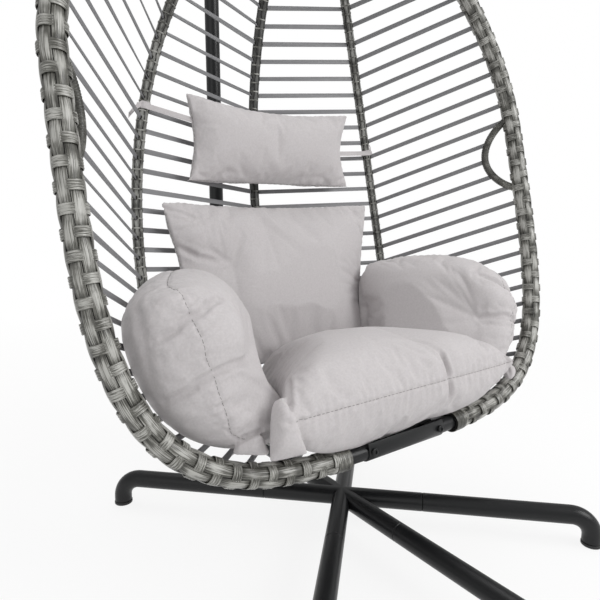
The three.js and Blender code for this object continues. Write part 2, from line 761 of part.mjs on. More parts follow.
// flat strip with mitred turns; the basket's middle gives the side that its flat faces
function flatStrip(points, width, thickness, middle) {
  const positions = [];
  const index = [];
  const quad = (a, b, c, d) => index.push(a, b, c, a, c, d);
  points.forEach((point, i) => {
    const before = points[Math.max(i - 1, 0)];
    const after = points[Math.min(i + 1, points.length - 1)];
    const into = point.clone().sub(before).normalize();
    const out = after.clone().sub(point).normalize();
    if (i === 0) into.copy(out);
    if (i === points.length - 1) out.copy(into);
    const along = into.clone().add(out).normalize();
    const turnPlane = into.clone().cross(out);
    const facing = middle.clone().sub(point);
    const normal = turnPlane.length() > 0.05 ? turnPlane.normalize() : facing.clone();
    if (normal.dot(facing) < 0) normal.negate();
    normal.addScaledVector(along, -normal.dot(along)).normalize();
    const stretch = 1 / Math.max(along.dot(into), 0.9);
    const sideways = normal.clone().cross(along).multiplyScalar((width / 2) * stretch);
    const depth = normal.multiplyScalar(thickness / 2);
    for (const [s, d] of [[-1, -1], [1, -1], [1, 1], [-1, 1]]) {
      const corner = point.clone().addScaledVector(sideways, s).addScaledVector(depth, d);
      positions.push(corner.x, corner.y, corner.z);
    }
    const ring = i * 4;
    if (i > 0) {
      for (let k = 0; k < 4; k += 1) {
        const n = (k + 1) % 4;
        quad(ring - 4 + k, ring - 4 + n, ring + n, ring + k);
      }
    }
  });
  const last = (points.length - 1) * 4;
  quad(0, 3, 2, 1);
  quad(last, last + 1, last + 2, last + 3);
  const geometry = new THREE.BufferGeometry();
  geometry.setAttribute('position', new THREE.Float32BufferAttribute(positions, 3));
  geometry.setIndex(index);
  geometry.computeVertexNormals();
  return geometry;
}

const basketMiddle = basketPoint(basketHeight / 2, 0, 0);
const panels = {
  straps_left_front: [rimRail(-1), ribRail('left')],
  straps_left_rear: [ribRail('left'), ribRail('back')],
  straps_right_rear: [ribRail('back'), ribRail('right')],
  straps_right_front: [ribRail('right'), rimRail(1)],
};
for (const [name, [railA, railB]] of Object.entries(panels)) {
  addPiece(name, flatStrip(strapRoute(railA, railB), strapWidth, strapThickness, basketMiddle), 'strap');
}

// ---------- cushions ----------
// closed pillow over a square of u and v from -1 to 1; place(u, v, w) gives a point of it,
// with w from -1 on one face to 1 on the other
function pillow(across, along, fullness, place) {
  const positions = [];
  const index = [];
  const spread = (i, count) => -Math.cos((Math.PI * i) / count);
  const rise = (u) => Math.max(1 - Math.abs(u) ** fullness, 0);
  const crown = (u, v) => Math.sqrt(rise(u) * rise(v));
  for (const face of [1, -1]) {
    const first = positions.length / 3;
    for (let i = 0; i <= across; i += 1) {
      for (let k = 0; k <= along; k += 1) {
        const u = spread(i, across);
        const v = spread(k, along);
        positions.push(...place(u, v, face * crown(u, v)).toArray());
      }
    }
    for (let i = 0; i < across; i += 1) {
      for (let k = 0; k < along; k += 1) {
        const a = first + i * (along + 1) + k;
        const [b, c, d] = [a + along + 1, a + along + 2, a + 1];
        const rising = (2 * i < across) === (2 * k < along);
        const faces = rising ? [[a, b, c], [a, c, d]] : [[a, b, d], [b, c, d]];
        for (const corners of faces) index.push(...(face > 0 ? corners : corners.reverse()));
      }
    }
  }
  const geometry = new THREE.BufferGeometry();
  geometry.setAttribute('position', new THREE.Float32BufferAttribute(positions, 3));
  geometry.setIndex(index);
  const closed = welded(geometry);
  closed.computeVertexNormals();
  return closed;
}

const drawnIn = (u, v, share) => u * (1 - share * (1 - v * v));
const cornered = (u, v, share) => u * Math.sqrt(1 - share * v * v); // rounds the corners of the outline

// reach of an outline at a height on its lower, widening part or above
function reachAt(outline, height) {
  const i = Math.max(outline.findIndex((p) => p.height >= height), 1);
  const share = (height - outline[i - 1].height) / (outline[i].height - outline[i - 1].height);
  return outline[i - 1].reach + (outline[i].reach - outline[i - 1].reach) * share;
}

function seatPoint(u, v, w) {
  const back = seat.back + (seat.depth / 2) * drawnIn(v, u, seat.drawn);
  const share = (v + 1) / 2;
  const half = (seat.rearWidth + (seat.width - seat.rearWidth) * (1 - share) ** seat.taper) / 2;
  const height = seat.height + seat.rise * share * share + (seat.thickness / 2) * w;
  return basketPoint(height, half * drawnIn(u, v, seat.drawn), back);
}
addPiece('seat_cushion', pillow(14, 12, seat.fullness, seatPoint), 'fabric');

// an arm cushion stands on edge along the wall between the rim and the side rib
function armPoint(side, u, v, w) {
  const skew = (arm.rearSkew * (1 + w) * (1 + u) ** 2) / 8; // its rear end lies along the back cushion
  const run = arm.wallShare - arm.wallStart;
  const share = skew + arm.wallStart + (run * (1 + cornered(u, v, arm.rounded))) / 2;
  const high = arm.highFront + (arm.highRear - arm.highFront) * share;
  const height = arm.low + ((high - arm.low) * (1 + cornered(v, u, arm.rounded))) / 2;
  const rim = reachAt(rimOutline, height) - rimWrapRadius;
  const rib = (reachAt(sideOutline, height) - ribRadius) * Math.SQRT1_2;
  const wall = new THREE.Vector2(rim, 0).lerp(new THREE.Vector2(rib, rib), share);
  const inward = new THREE.Vector2(-rib, rib - rim).normalize();
  wall.addScaledVector(inward, cushionClearance + (arm.thickness / 2) * (1 + w));
  return basketPoint(height, side * wall.x, wall.y);
}
for (const [place, side] of Object.entries(sides)) {
  const point = (u, v, w) => armPoint(side, u, v, -side * w);
  addPiece(`arm_cushion_${place}`, pillow(12, 12, arm.fullness, point), 'fabric');
}

// upright cushion bowed to the basket's back
function backPoint(size, u, v, w) {
  const width = size.width + ((size.lowWidth - size.width) * (1 - v)) / 2;
  const x = (width / 2) * drawnIn(u, v, size.drawn);
  const middle = size.middleShare * basketHeight;
  const height = middle + (size.height / 2) * drawnIn(v, u, size.drawn);
  const back = reachAt(backOutline, height) - ribRadius - size.standOff - size.thickness / 2;
  const bowed = back - size.bow * (x / size.width) ** 2 * 4;
  return basketPoint(height, x + size.shift, bowed - (size.thickness / 2) * w);
}
const backForm = pillow(14, 10, backCushion.fullness, (u, v, w) => backPoint(backCushion, u, v, w));
const pillowForm = pillow(12, 8, headPillow.fullness, (u, v, w) => backPoint(headPillow, u, v, w));
addPiece('back_cushion', backForm, 'fabric');
addPiece('head_pillow', pillowForm, 'fabric');

export default object;
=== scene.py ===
import math
import random

import bpy
from mathutils.bvhtree import BVHTree
from mathutils.kdtree import KDTree
from mathutils import Matrix, Vector


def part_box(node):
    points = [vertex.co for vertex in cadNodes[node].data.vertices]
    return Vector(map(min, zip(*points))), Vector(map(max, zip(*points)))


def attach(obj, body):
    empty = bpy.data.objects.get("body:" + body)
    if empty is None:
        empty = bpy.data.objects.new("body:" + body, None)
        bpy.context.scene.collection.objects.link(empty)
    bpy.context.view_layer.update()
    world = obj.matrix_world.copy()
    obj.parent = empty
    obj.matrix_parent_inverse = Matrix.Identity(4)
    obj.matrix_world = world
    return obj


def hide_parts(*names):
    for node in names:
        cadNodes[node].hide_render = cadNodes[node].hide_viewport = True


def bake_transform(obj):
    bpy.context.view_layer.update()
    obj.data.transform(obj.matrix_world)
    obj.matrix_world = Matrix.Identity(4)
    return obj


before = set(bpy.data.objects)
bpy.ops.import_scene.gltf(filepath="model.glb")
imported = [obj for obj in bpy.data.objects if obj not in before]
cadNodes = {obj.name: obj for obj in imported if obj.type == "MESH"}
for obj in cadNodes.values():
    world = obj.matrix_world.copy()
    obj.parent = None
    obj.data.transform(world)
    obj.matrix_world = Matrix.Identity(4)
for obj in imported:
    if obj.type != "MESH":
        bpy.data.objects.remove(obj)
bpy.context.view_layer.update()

scene = bpy.context.scene
quarter = math.pi / 2
fullTurn = 2 * math.pi


# small helpers
def deselect():
    if bpy.context.object and bpy.context.object.mode != "OBJECT":
        bpy.ops.object.mode_set(mode="OBJECT")
    bpy.ops.object.select_all(action="DESELECT")


def pick(*objects):
    deselect()
    for piece in objects:
        piece.select_set(True)
    bpy.context.view_layer.objects.active = objects[0]
    return objects[0]


def editAll(piece):
    pick(piece)
    bpy.ops.object.mode_set(mode="EDIT")
    bpy.ops.mesh.select_all(action="SELECT")


def leaveEdit():
    bpy.ops.object.mode_set(mode="OBJECT")


def goStraight(move):
    bpy.ops.mesh.extrude_region_move(TRANSFORM_OT_translate={"value": move})


def settle(piece):
    # the place goes into the mesh, and the object back to the origin
    pick(piece)
    bpy.ops.object.transform_apply(location=True, rotation=True, scale=True)


def shape(add, name="part", **values):
    # a new piece from an add operator, its place taken into the mesh
    deselect()
    add(**values)
    piece = bpy.context.object
    piece.name = name
    settle(piece)
    return piece


def cylinder(name, radius, depth, sides, place, turn=0):
    return shape(bpy.ops.mesh.primitive_cylinder_add, name, vertices=sides, radius=radius, depth=depth,
                 location=place, rotation=(turn, 0, 0))


def ring(name, radius, wire, sides, place, turn):
    return shape(bpy.ops.mesh.primitive_torus_add, name, major_radius=radius, minor_radius=wire,
                 major_segments=sides[0], minor_segments=sides[1], location=place, rotation=turn)


def sheet(name, across, along, size, place=(0, 0, 0)):
    return shape(bpy.ops.mesh.primitive_grid_add, name, x_subdivisions=across, y_subdivisions=along,
                 size=size, location=place)


def tubeEnd(sides, radius, name="part"):
    # a circle round the X axis, open in edit mode
    end = shape(bpy.ops.mesh.primitive_circle_add, name, vertices=sides, radius=radius,
                rotation=(0, quarter, 0))
    editAll(end)
    return end


def drawn(name, points, edges, faces):
    # a piece from its own points, open in edit mode
    piece = shape(bpy.ops.mesh.primitive_plane_add, name)
    piece.data = bpy.data.meshes.new(name)
    piece.data.from_pydata(points, edges, faces)
    editAll(piece)
    return piece


def joinPieces(pieces, name):
    first = pick(*pieces)
    if len(pieces) > 1:
        bpy.ops.object.join()
    first.name = name
    first.data.name = name
    return first


def useModifier(piece, kind, **values):
    pick(piece)
    modifier = piece.modifiers.new(kind.lower(), kind)
    for key, value in values.items():
        setattr(modifier, key, value)
    bpy.ops.object.modifier_apply(modifier=modifier.name)


def chooseVerts(piece, test):
    # opens the piece in edit mode with the points that pass the test selected
    pick(piece)
    mesh = piece.data
    for polygon in mesh.polygons:
        polygon.select = False
    for edge in mesh.edges:
        edge.select = False
    for vert in mesh.vertices:
        vert.select = test(vert.co)
    for edge in mesh.edges:
        edge.select = all(mesh.vertices[v].select for v in edge.vertices)
    for polygon in mesh.polygons:
        polygon.select = all(mesh.vertices[v].select for v in polygon.vertices)
    bpy.ops.object.mode_set(mode="EDIT")


def cleanUp(piece, distance=1e-5, closed=True):
    editAll(piece)
    bpy.ops.mesh.remove_doubles(threshold=distance)
    if closed:
        bpy.ops.mesh.fill_holes(sides=0)
    bpy.ops.mesh.normals_make_consistent(inside=False)
    leaveEdit()


def roundEdges(piece, width, segments=2, sharpest=50):
    useModifier(piece, "BEVEL", width=width, segments=segments, limit_method="ANGLE",
                angle_limit=math.radians(sharpest))


def dress(piece, body, finish=None, replaced=None, smoothAngle=40):
    # the piece's surface, body and the node that it replaces
    pick(piece)
    bpy.ops.object.shade_smooth_by_angle(angle=math.radians(smoothAngle))
    if finish:
        piece.data.materials.clear()
        piece.data.materials.append(finish)
    if body:
        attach(piece, body)
    if replaced:
        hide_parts(replaced)
    return piece


def copyPiece(piece, name, matrix):
    twin = piece.copy()
    twin.data = piece.data.copy()
    twin.name = name
    scene.collection.objects.link(twin)
    twin.data.transform(matrix)
    return twin


# places on the basket, the same rules as the solids
basket = {
    "front": -0.171, "bottom": 0.253, "lean": 12.9, "height": 1.145,
    "rimHalfWidth": 0.531, "rimWidest": 0.640, "rimPowers": (4.1, 1.9), "rimSweep": 1.75,
    "sideReach": 0.476, "backReach": 0.420, "ribWidest": 0.370, "ribPowers": (2.9, 2.0),
    "wrapStart": 0.137, "tubeStart": 0.045, "ribStart": 0.078, "channelHalf": 0.098,
    "wrapRadius": 0.021, "ribRadius": 0.0105, "steps": 600,
}
leanAngle = math.radians(basket["lean"])
axisUp = Vector((0, math.sin(leanAngle), math.cos(leanAngle)))
axisBack = Vector((0, math.cos(leanAngle), -math.sin(leanAngle)))
basketFoot = Vector((0, basket["front"], basket["bottom"]))


def basketPoint(height, across, back):
    return basketFoot + axisUp * height + Vector((across, 0, 0)) + axisBack * back


def eggOutline(reach, widest, powers):
    outline = []
    for i in range(basket["steps"] + 1):
        turn = (i / basket["steps"] - 0.5) * math.pi
        power = powers[0] if turn < 0 else powers[1]
        span = -widest if turn < 0 else basket["height"] - widest
        across, along = (abs(f(turn)) ** (2 / power) for f in (math.cos, math.sin))
        outline.append((reach * across, widest + span * along))
    return outline


def outlineFrom(outline, start):
    kept = [p for p in outline if p[0] >= start]
    running = [0.0]
    for a, b in zip(kept, kept[1:]):
        running.append(running[-1] + math.dist(a, b))
    return [(p[0], p[1], s) for p, s in zip(kept, running)]


def atLength(outline, length):
    i = next((k for k, p in enumerate(outline) if p[2] >= length), len(outline) - 1)
    i = max(i, 1)
    a, b = outline[i - 1], outline[i]
    share = (length - a[2]) / (b[2] - a[2])
    return a[0] + (b[0] - a[0]) * share, a[1] + (b[1] - a[1]) * share


def evenly(outline, count):
    return [atLength(outline, outline[-1][2] * i / count) for i in range(count + 1)]


rimOutline = eggOutline(basket["rimHalfWidth"], basket["rimWidest"], basket["rimPowers"])
sideOutline = eggOutline(basket["sideReach"], basket["ribWidest"], basket["ribPowers"])
backOutline = eggOutline(basket["backReach"], basket["ribWidest"], basket["ribPowers"])
wrapOutline = outlineFrom(rimOutline, basket["wrapStart"])
tubeOutline = outlineFrom(rimOutline, basket["tubeStart"])
sideRibOutline = outlineFrom(sideOutline, basket["ribStart"])
backRibOutline = outlineFrom(backOutline, basket["ribStart"])
sweepBack = math.tan(math.radians(basket["rimSweep"]))


def rimPlace(side):
    return lambda p: basketPoint(p[1], side * p[0], max(p[0] - basket["channelHalf"], 0) * sweepBack)


def sideRibPlace(side):
    return lambda p: basketPoint(p[1], side * p[0] * math.sqrt(0.5), p[0] * math.sqrt(0.5))


def backRibPlace(p):
    return basketPoint(p[1], 0, p[0])


# materials
def newMaterial(name, colour, **values):
    material = bpy.data.materials.new(name)
    material.use_nodes = True
    shader = material.node_tree.nodes["Principled BSDF"]
    shader.inputs["Base Color"].default_value = (*colour, 1)
    for key, value in values.items():
        shader.inputs[key].default_value = value
    return material, material.node_tree.nodes, material.node_tree.links, shader


def node(nodes, kind, **values):
    made = nodes.new(kind)
    for key, value in values.items():
        if key in made.inputs:
            made.inputs[key].default_value = value
        else:
            setattr(made, key, value)
    return made


def ramp(nodes, stops):
    made = nodes.new("ShaderNodeValToRGB")
    band = made.color_ramp
    while len(band.elements) < len(stops):
        band.elements.new(0.5)
    for element, (position, colour) in zip(band.elements, stops):
        element.position = position
        element.color = (*colour, 1)
    return made


def wire(links, *pairs):
    for source, output, target, entry in pairs:
        links.new(source.outputs[output], target.inputs[entry])


def bumpFrom(nodes, links, shader, source, output, strength, distance):
    bump = node(nodes, "ShaderNodeBump", Strength=strength, Distance=distance)
    wire(links, (source, output, bump, "Height"), (bump, "Normal", shader, "Normal"))


def roughFrom(nodes, links, shader, source, output, low, high):
    spread = node(nodes, "ShaderNodeMapRange", **{"To Min": low, "To Max": high})
    wire(links, (source, output, spread, "Value"), (spread, "Result", shader, "Roughness"))


def mixAdd(nodes, factor=0.5):
    # one value times a factor, plus another value
    made = node(nodes, "ShaderNodeMath", operation="MULTIPLY_ADD")
    made.inputs[1].default_value = factor
    return made


def streakGroup():
    # fine streaks along a strip, with slow changes of tone from strip to strip
    group = bpy.data.node_groups.new("stripStreaks", "ShaderNodeTree")
    sockets = group.interface
    sockets.new_socket(name="Vector", in_out="INPUT", socket_type="NodeSocketVector")
    sockets.new_socket(name="Streaks", in_out="OUTPUT", socket_type="NodeSocketFloat")
    sockets.new_socket(name="Tone", in_out="OUTPUT", socket_type="NodeSocketFloat")
    nodes, links = group.nodes, group.links
    start = nodes.new("NodeGroupInput")
    end = nodes.new("NodeGroupOutput")
    fine = node(nodes, "ShaderNodeTexNoise", Scale=1.0, Detail=6.0, Roughness=0.62)
    wire(links, (start, "Vector", fine, "Vector"), (fine, "Fac", end, "Streaks"))
    where = nodes.new("ShaderNodeTexCoord")
    slow = node(nodes, "ShaderNodeTexNoise", Scale=34.0, Detail=2.0, Roughness=0.5)
    wire(links, (where, "Object", slow, "Vector"), (slow, "Fac", end, "Tone"))
    return group


streaks = streakGroup()


def rattanMaterial(name, stretch, stops):
    material, nodes, links, shader = newMaterial(name, stops[1][1], Roughness=0.36)
    uv = nodes.new("ShaderNodeUVMap")
    mapping = node(nodes, "ShaderNodeMapping", Scale=stretch)
    group = nodes.new("ShaderNodeGroup")
    group.node_tree = streaks
    # painted shade: the paintedShade attribute, darker in the weave's dips and along strip edges, is added to the
    # streaks before the colour ramp
    paintedShade = node(nodes, "ShaderNodeAttribute", attribute_name="paintedShade")
    depth = mixAdd(nodes, 0.2)
    colours = ramp(nodes, stops)
    total = mixAdd(nodes)
    wire(links, (uv, "UV", mapping, "Vector"), (mapping, "Vector", group, "Vector"), (group, "Tone", total, 0),
         (group, "Streaks", total, 2), (paintedShade, "Fac", depth, 0), (total, "Value", depth, 2),
         (depth, "Value", colours, "Fac"), (colours, "Color", shader, "Base Color"))
    bumpFrom(nodes, links, shader, group, "Streaks", 0.4, 0.0005)
    return material


ribStops = [(0.60, (0.006, 0.006, 0.005)), (0.84, (0.075, 0.074, 0.066)), (0.98, (0.330, 0.330, 0.310))]
rattanStops = [(0.62, (0.010, 0.0095, 0.0075)), (0.83, (0.105, 0.103, 0.089)), (0.98, (0.430, 0.427, 0.400))]
stakeFinish = rattanMaterial("rattanStake", (26, 700, 1), rattanStops)
ribFinish = rattanMaterial("rattanRib", (90, 900, 1), ribStops)
# the back rib's rattan at 0.3 of the rib tones: painted shade from the cushions in front of it
paintedShadeStops = [(place, [c * 0.3 for c in tone]) for place, tone in ribStops]
paintedShadeFinish = rattanMaterial("rattanShade", (90, 900, 1), paintedShadeStops)
bandFinish = rattanMaterial("rattanBand", (1500, 60, 1), rattanStops)
# near-black matte fill: under the weave it stands for the dark tube together with painted shade in the gaps between
# strands; in the strap pockets it is painted shade
shadeFillFinish, _, _, _ = newMaterial("rattanShade", (0.012, 0.011, 0.010), Roughness=0.9)


def steelMaterial():
    material, nodes, links, shader = newMaterial(
        "blackPaint", (0.0085, 0.009, 0.0098), Roughness=0.34, **{"Specular IOR Level": 0.32})
    where = nodes.new("ShaderNodeTexCoord")
    grain = node(nodes, "ShaderNodeTexNoise", Scale=900.0, Detail=2.0)
    cloud = node(nodes, "ShaderNodeTexNoise", Scale=14.0, Detail=3.0)
    wire(links, (where, "Object", grain, "Vector"), (where, "Object", cloud, "Vector"))
    roughFrom(nodes, links, shader, cloud, "Fac", 0.28, 0.42)
    bumpFrom(nodes, links, shader, grain, "Fac", 0.12, 0.0004)
    return material


def zincMaterial():
    material, nodes, links, shader = newMaterial("zincPlate", (0.42, 0.43, 0.44), Metallic=1.0, Roughness=0.3)
    where = nodes.new("ShaderNodeTexCoord")
    spangle = node(nodes, "ShaderNodeTexVoronoi", Scale=160.0)
    wire(links, (where, "Object", spangle, "Vector"))
    roughFrom(nodes, links, shader, spangle, "Distance", 0.24, 0.42)
    return material


def plasticMaterial():
    material, nodes, links, shader = newMaterial("blackPlastic", (0.014, 0.014, 0.015), Roughness=0.55)
    where = nodes.new("ShaderNodeTexCoord")
    grain = node(nodes, "ShaderNodeTexNoise", Scale=1400.0, Detail=3.0)
    wire(links, (where, "Object", grain, "Vector"))
    bumpFrom(nodes, links, shader, grain, "Fac", 0.3, 0.0003)
    return material


def strapMaterial():
    material, nodes, links, shader = newMaterial("strapPlastic", (0.19, 0.19, 0.195), Roughness=0.42)
    uv = nodes.new("ShaderNodeUVMap")
    mapping = node(nodes, "ShaderNodeMapping", Scale=(8, 900, 1))
    lines = node(nodes, "ShaderNodeTexNoise", Scale=1.0, Detail=4.0)
    colours = ramp(nodes, [(0.25, (0.150, 0.150, 0.156)), (0.75, (0.225, 0.225, 0.232))])
    wire(links, (uv, "UV", mapping, "Vector"), (mapping, "Vector", lines, "Vector"),
         (lines, "Fac", colours, "Fac"), (colours, "Color", shader, "Base Color"))
    bumpFrom(nodes, links, shader, lines, "Fac", 0.35, 0.0004)
    return material


def weaveGroup():
    # plain weave from crossing threads on the two axes that lie most in the surface
    group = bpy.data.node_groups.new("clothWeave", "ShaderNodeTree")
    group.interface.new_socket(name="Scale", in_out="INPUT", socket_type="NodeSocketFloat")
    group.interface.new_socket(name="Height", in_out="OUTPUT", socket_type="NodeSocketFloat")
    group.interface.new_socket(name="Slub", in_out="OUTPUT", socket_type="NodeSocketFloat")
    nodes, links = group.nodes, group.links
    start = nodes.new("NodeGroupInput")
    end = nodes.new("NodeGroupOutput")
    where = nodes.new("ShaderNodeTexCoord")
    split = nodes.new("ShaderNodeSeparateXYZ")
    scaled = node(nodes, "ShaderNodeVectorMath", operation="SCALE")
    wire(links, (where, "Object", scaled, 0), (start, "Scale", scaled, "Scale"),
         (scaled, "Vector", split, "Vector"))
    waves = []
    for axis in ("X", "Y", "Z"):
        wave = node(nodes, "ShaderNodeMath", operation="SINE")
        wire(links, (split, axis, wave, 0))
        waves.append(wave)
    face = nodes.new("ShaderNodeNewGeometry")
    facing = nodes.new("ShaderNodeSeparateXYZ")
    wire(links, (face, "Normal", facing, "Vector"))
    total = None
    for i, axis in enumerate(("X", "Y", "Z")):
        first, second = [w for k, w in enumerate(waves) if k != i]
        product = node(nodes, "ShaderNodeMath", operation="MULTIPLY")
        share = node(nodes, "ShaderNodeMath", operation="MULTIPLY")
        part = node(nodes, "ShaderNodeMath", operation="MULTIPLY_ADD")
        wire(links, (first, 0, product, 0), (second, 0, product, 1), (facing, axis, share, 0),
             (facing, axis, share, 1), (product, 0, part, 0), (share, 0, part, 1))
        if total is None:
            part.inputs[2].default_value = 0
        else:
            wire(links, (total, 0, part, 2))
        total = part
    slub = node(nodes, "ShaderNodeTexNoise", Scale=260.0, Detail=4.0, Roughness=0.6)
    wire(links, (total, 0, end, "Height"), (where, "Object", slub, "Vector"), (slub, "Fac", end, "Slub"))
    return group


weave = weaveGroup()


def fabricMaterial(name, dark, light):
    material, nodes, links, shader = newMaterial(
        name, light, Roughness=0.92, **{"Sheen Weight": 0.12, "Sheen Roughness": 0.5, "Specular IOR Level": 0.2})
    group = nodes.new("ShaderNodeGroup")
    group.node_tree = weave
    group.inputs["Scale"].default_value = 3800
    colours = ramp(nodes, [(0.3, dark), (0.7, light)])
    height = mixAdd(nodes)
    wire(links, (group, "Slub", colours, "Fac"), (colours, "Color", shader, "Base Color"),
         (group, "Height", height, 0), (group, "Slub", height, 2))
    bumpFrom(nodes, links, shader, height, "Value", 0.35, 0.0006)
    return material


blackPaint = steelMaterial()
zinc = zincMaterial()
blackPlastic = plasticMaterial()
strapFinish = strapMaterial()
fabric = fabricMaterial("cushionCloth", (0.50, 0.475, 0.478), (0.56, 0.535, 0.539))
seamThread = fabricMaterial("seamThread", (0.20, 0.19, 0.185), (0.26, 0.25, 0.24))
print("materials made")


# woven sleeves
def pathCurve(name, runs, wire=0, roundness=0):
    data = bpy.data.curves.new(name, "CURVE")
    data.dimensions = "3D"
    data.bevel_depth = wire
    data.bevel_resolution = roundness
    for points in runs:
        spline = data.splines.new("POLY")
        spline.points.add(len(points) - 1)
        for target, point in zip(spline.points, points):
            target.co = (*point, 1)
    curve = bpy.data.objects.new(name, data)
    scene.collection.objects.link(curve)
    return curve


def wireAlong(name, runs, wire, roundness, capped=False):
    curve = pathCurve(name, runs, wire, roundness)
    curve.data.use_fill_caps = capped
    pick(curve)
    bpy.ops.object.convert(target="MESH")
    return bpy.context.object


def pathLength(points):
    return sum((b - a).length for a, b in zip(points, points[1:]))


def bendAlong(piece, points):
    curve = pathCurve(piece.name + "Path", [points])
    useModifier(piece, "CURVE", object=curve, deform_axis="POS_X")
    bpy.data.objects.remove(curve)


def stakeStrip(look, period, sense):
    # one flat strip, crowned to the tube, that rises over one band and dives under the next
    strip = sheet("stakes", look["stakeSteps"], look["stakeFaces"], 1)
    halfTurn = math.pi / look["stakes"] * look["stakeShare"]
    paintedShade = strip.data.attributes.new("paintedShade", "FLOAT", "POINT")
    for vert in strip.data.vertices:
        x = (vert.co.x + 0.5) * period
        turn = 2 * vert.co.y * halfTurn
        wave = sense * math.cos(fullTurn * x / period)
        edge = (turn / halfTurn) ** 2
        lift = look["wave"] * max(wave, look["deepest"]) * (1 - look["flatTop"] * wave)
        radius = look["radius"] + lift + look["crown"] * (1 - edge)
        dive = 0.5 - 0.5 * wave
        # painted shade: darker where the stake dives under a band and towards its edges
        paintedShade.data[vert.index].value = (1 - look["shade"] * dive) * (1 - look["edgeShade"] * edge ** 3)
        vert.co = (x, radius * math.sin(turn), radius * math.cos(turn))
    editAll(strip)
    start = math.pi / look["stakes"] * (1 - sense)
    bpy.ops.transform.rotate(value=-start, orient_axis="X", center_override=(0, 0, 0))
    bpy.ops.mesh.spin(steps=look["stakes"] // 2, dupli=True, angle=fullTurn, center=(0, 0, 0),
                      axis=(1, 0, 0))
    bpy.ops.mesh.select_all(action="SELECT")
    bpy.ops.mesh.remove_doubles(threshold=1e-6)
    leaveEdit()
    return strip


def bandStrands(look, period, sense):
    # a group of narrow strands round the tube, over the stakes that dive and under the others
    strands = []
    middle = period / 2 if sense > 0 else 0
    pitch = look["bandLength"] / look["strands"]
    for k in range(look["strands"]):
        strand = tubeEnd(look["bandSides"], 1)
        half = pitch * look["strandShare"] / 2
        for _ in range(2):
            goStraight((half, 0, 0))
        leaveEdit()
        shift = middle - look["bandLength"] / 2 + pitch * (k + look["bandLead"])
        paintedShade = strand.data.attributes.new("paintedShade", "FLOAT", "POINT")
        for vert in strand.data.vertices:
            turn = math.atan2(vert.co.y, vert.co.z)
            wave = sense * math.cos(look["stakes"] / 2 * turn)
            crown = 1 - abs(vert.co.x / half - 1)
            radius = look["radius"] + look["bandRise"] * (look["bandBase"] + crown) + look["wave"] * wave
            light = look["bandShade"] + (1 - look["bandShade"]) * crown
            # painted shade: darker where the strand passes under a stake and towards its edges
            paintedShade.data[vert.index].value = (0.5 + 0.5 * wave) * light
            vert.co = (vert.co.x + shift, radius * math.sin(turn), radius * math.cos(turn))
        strands.append(strand)
    return joinPieces(strands, "bandStrands")


def unrollUv(piece, uvRadius=0.02):
    # u runs along the tube and v round it, both in metres
    layer = piece.data.uv_layers.active or piece.data.uv_layers.new(name="UVMap")
    for polygon in piece.data.polygons:
        centre = polygon.center
        base = math.atan2(centre.y, centre.z)
        for loop in polygon.loop_indices:
            co = piece.data.vertices[piece.data.loops[loop].vertex_index].co
            turn = math.atan2(co.y, co.z)
            turn += round((base - turn) / fullTurn) * fullTurn
            layer.data[loop].uv = (co.x, turn * uvRadius)


def endStrips(look, starts):
    # plain strips side by side round the sleeve's two ends
    strips = []
    for start in starts:
        strip = tubeEnd(look["bandSides"], look["endRadius"])
        bpy.ops.transform.translate(value=(start, 0, 0))
        for size in look["endCrown"]:
            goStraight((look["endStrip"] * look["endShare"], 0, 0))
            bpy.ops.transform.resize(value=(1, size, size), center_override=(start, 0, 0))
        leaveEdit()
        strips.append(strip)
    return joinPieces(strips, "endStrips")


def repeated(piece, count, pitch):
    useModifier(piece, "ARRAY", count=count, use_relative_offset=False, use_constant_offset=True,
                constant_offset_displace=(pitch, 0, 0), use_merge_vertices=True, merge_threshold=1e-5,
                offset_u=pitch)


def wovenSleeve(name, look, points):
    length = pathLength(points)
    count = round((length - 2 * look["endWrap"]) / look["period"])
    period = (length - 2 * look["endWrap"]) / count
    parts = []
    for sense in (1, -1):
        strip = stakeStrip(look, period, sense)
        strip.data.materials.append(look["finish"])
        band = bandStrands(look, period, sense)
        band.data.materials.append(bandFinish)
        parts += [strip, band]
    cell = joinPieces(parts, name)
    unrollUv(cell)
    repeated(cell, count, period)
    cell.data.transform(Matrix.Translation((look["endWrap"], 0, 0)))
    useModifier(cell, "SOLIDIFY", thickness=look["thickness"], offset=-1)
    core = tubeEnd(look["coreSides"], look["coreRadius"])
    for _ in range(look["coreSteps"]):
        goStraight((length / look["coreSteps"], 0, 0))
    leaveEdit()
    useModifier(core, "SOLIDIFY", thickness=look["coreWall"], offset=-1)
    core.data.uv_layers.new(name="UVMap")
    # the core under the weave: dark tube and painted shade seen through the gaps
    core.data.materials.append(shadeFillFinish)
    stripCount = round(look["endWrap"] / look["endStrip"])
    starts = [k * look["endStrip"] for k in range(stripCount)]
    starts += [length - look["endWrap"] + s for s in starts]
    ends = endStrips(look, starts)
    unrollUv(ends)
    useModifier(ends, "SOLIDIFY", thickness=look["thickness"], offset=-1)
    ends.data.materials.append(bandFinish)
    sleeve = joinPieces([cell, core, ends], name)
    bendAlong(sleeve, points)
    editAll(sleeve)
    bpy.ops.mesh.normals_make_consistent(inside=False)
    leaveEdit()
    return sleeve


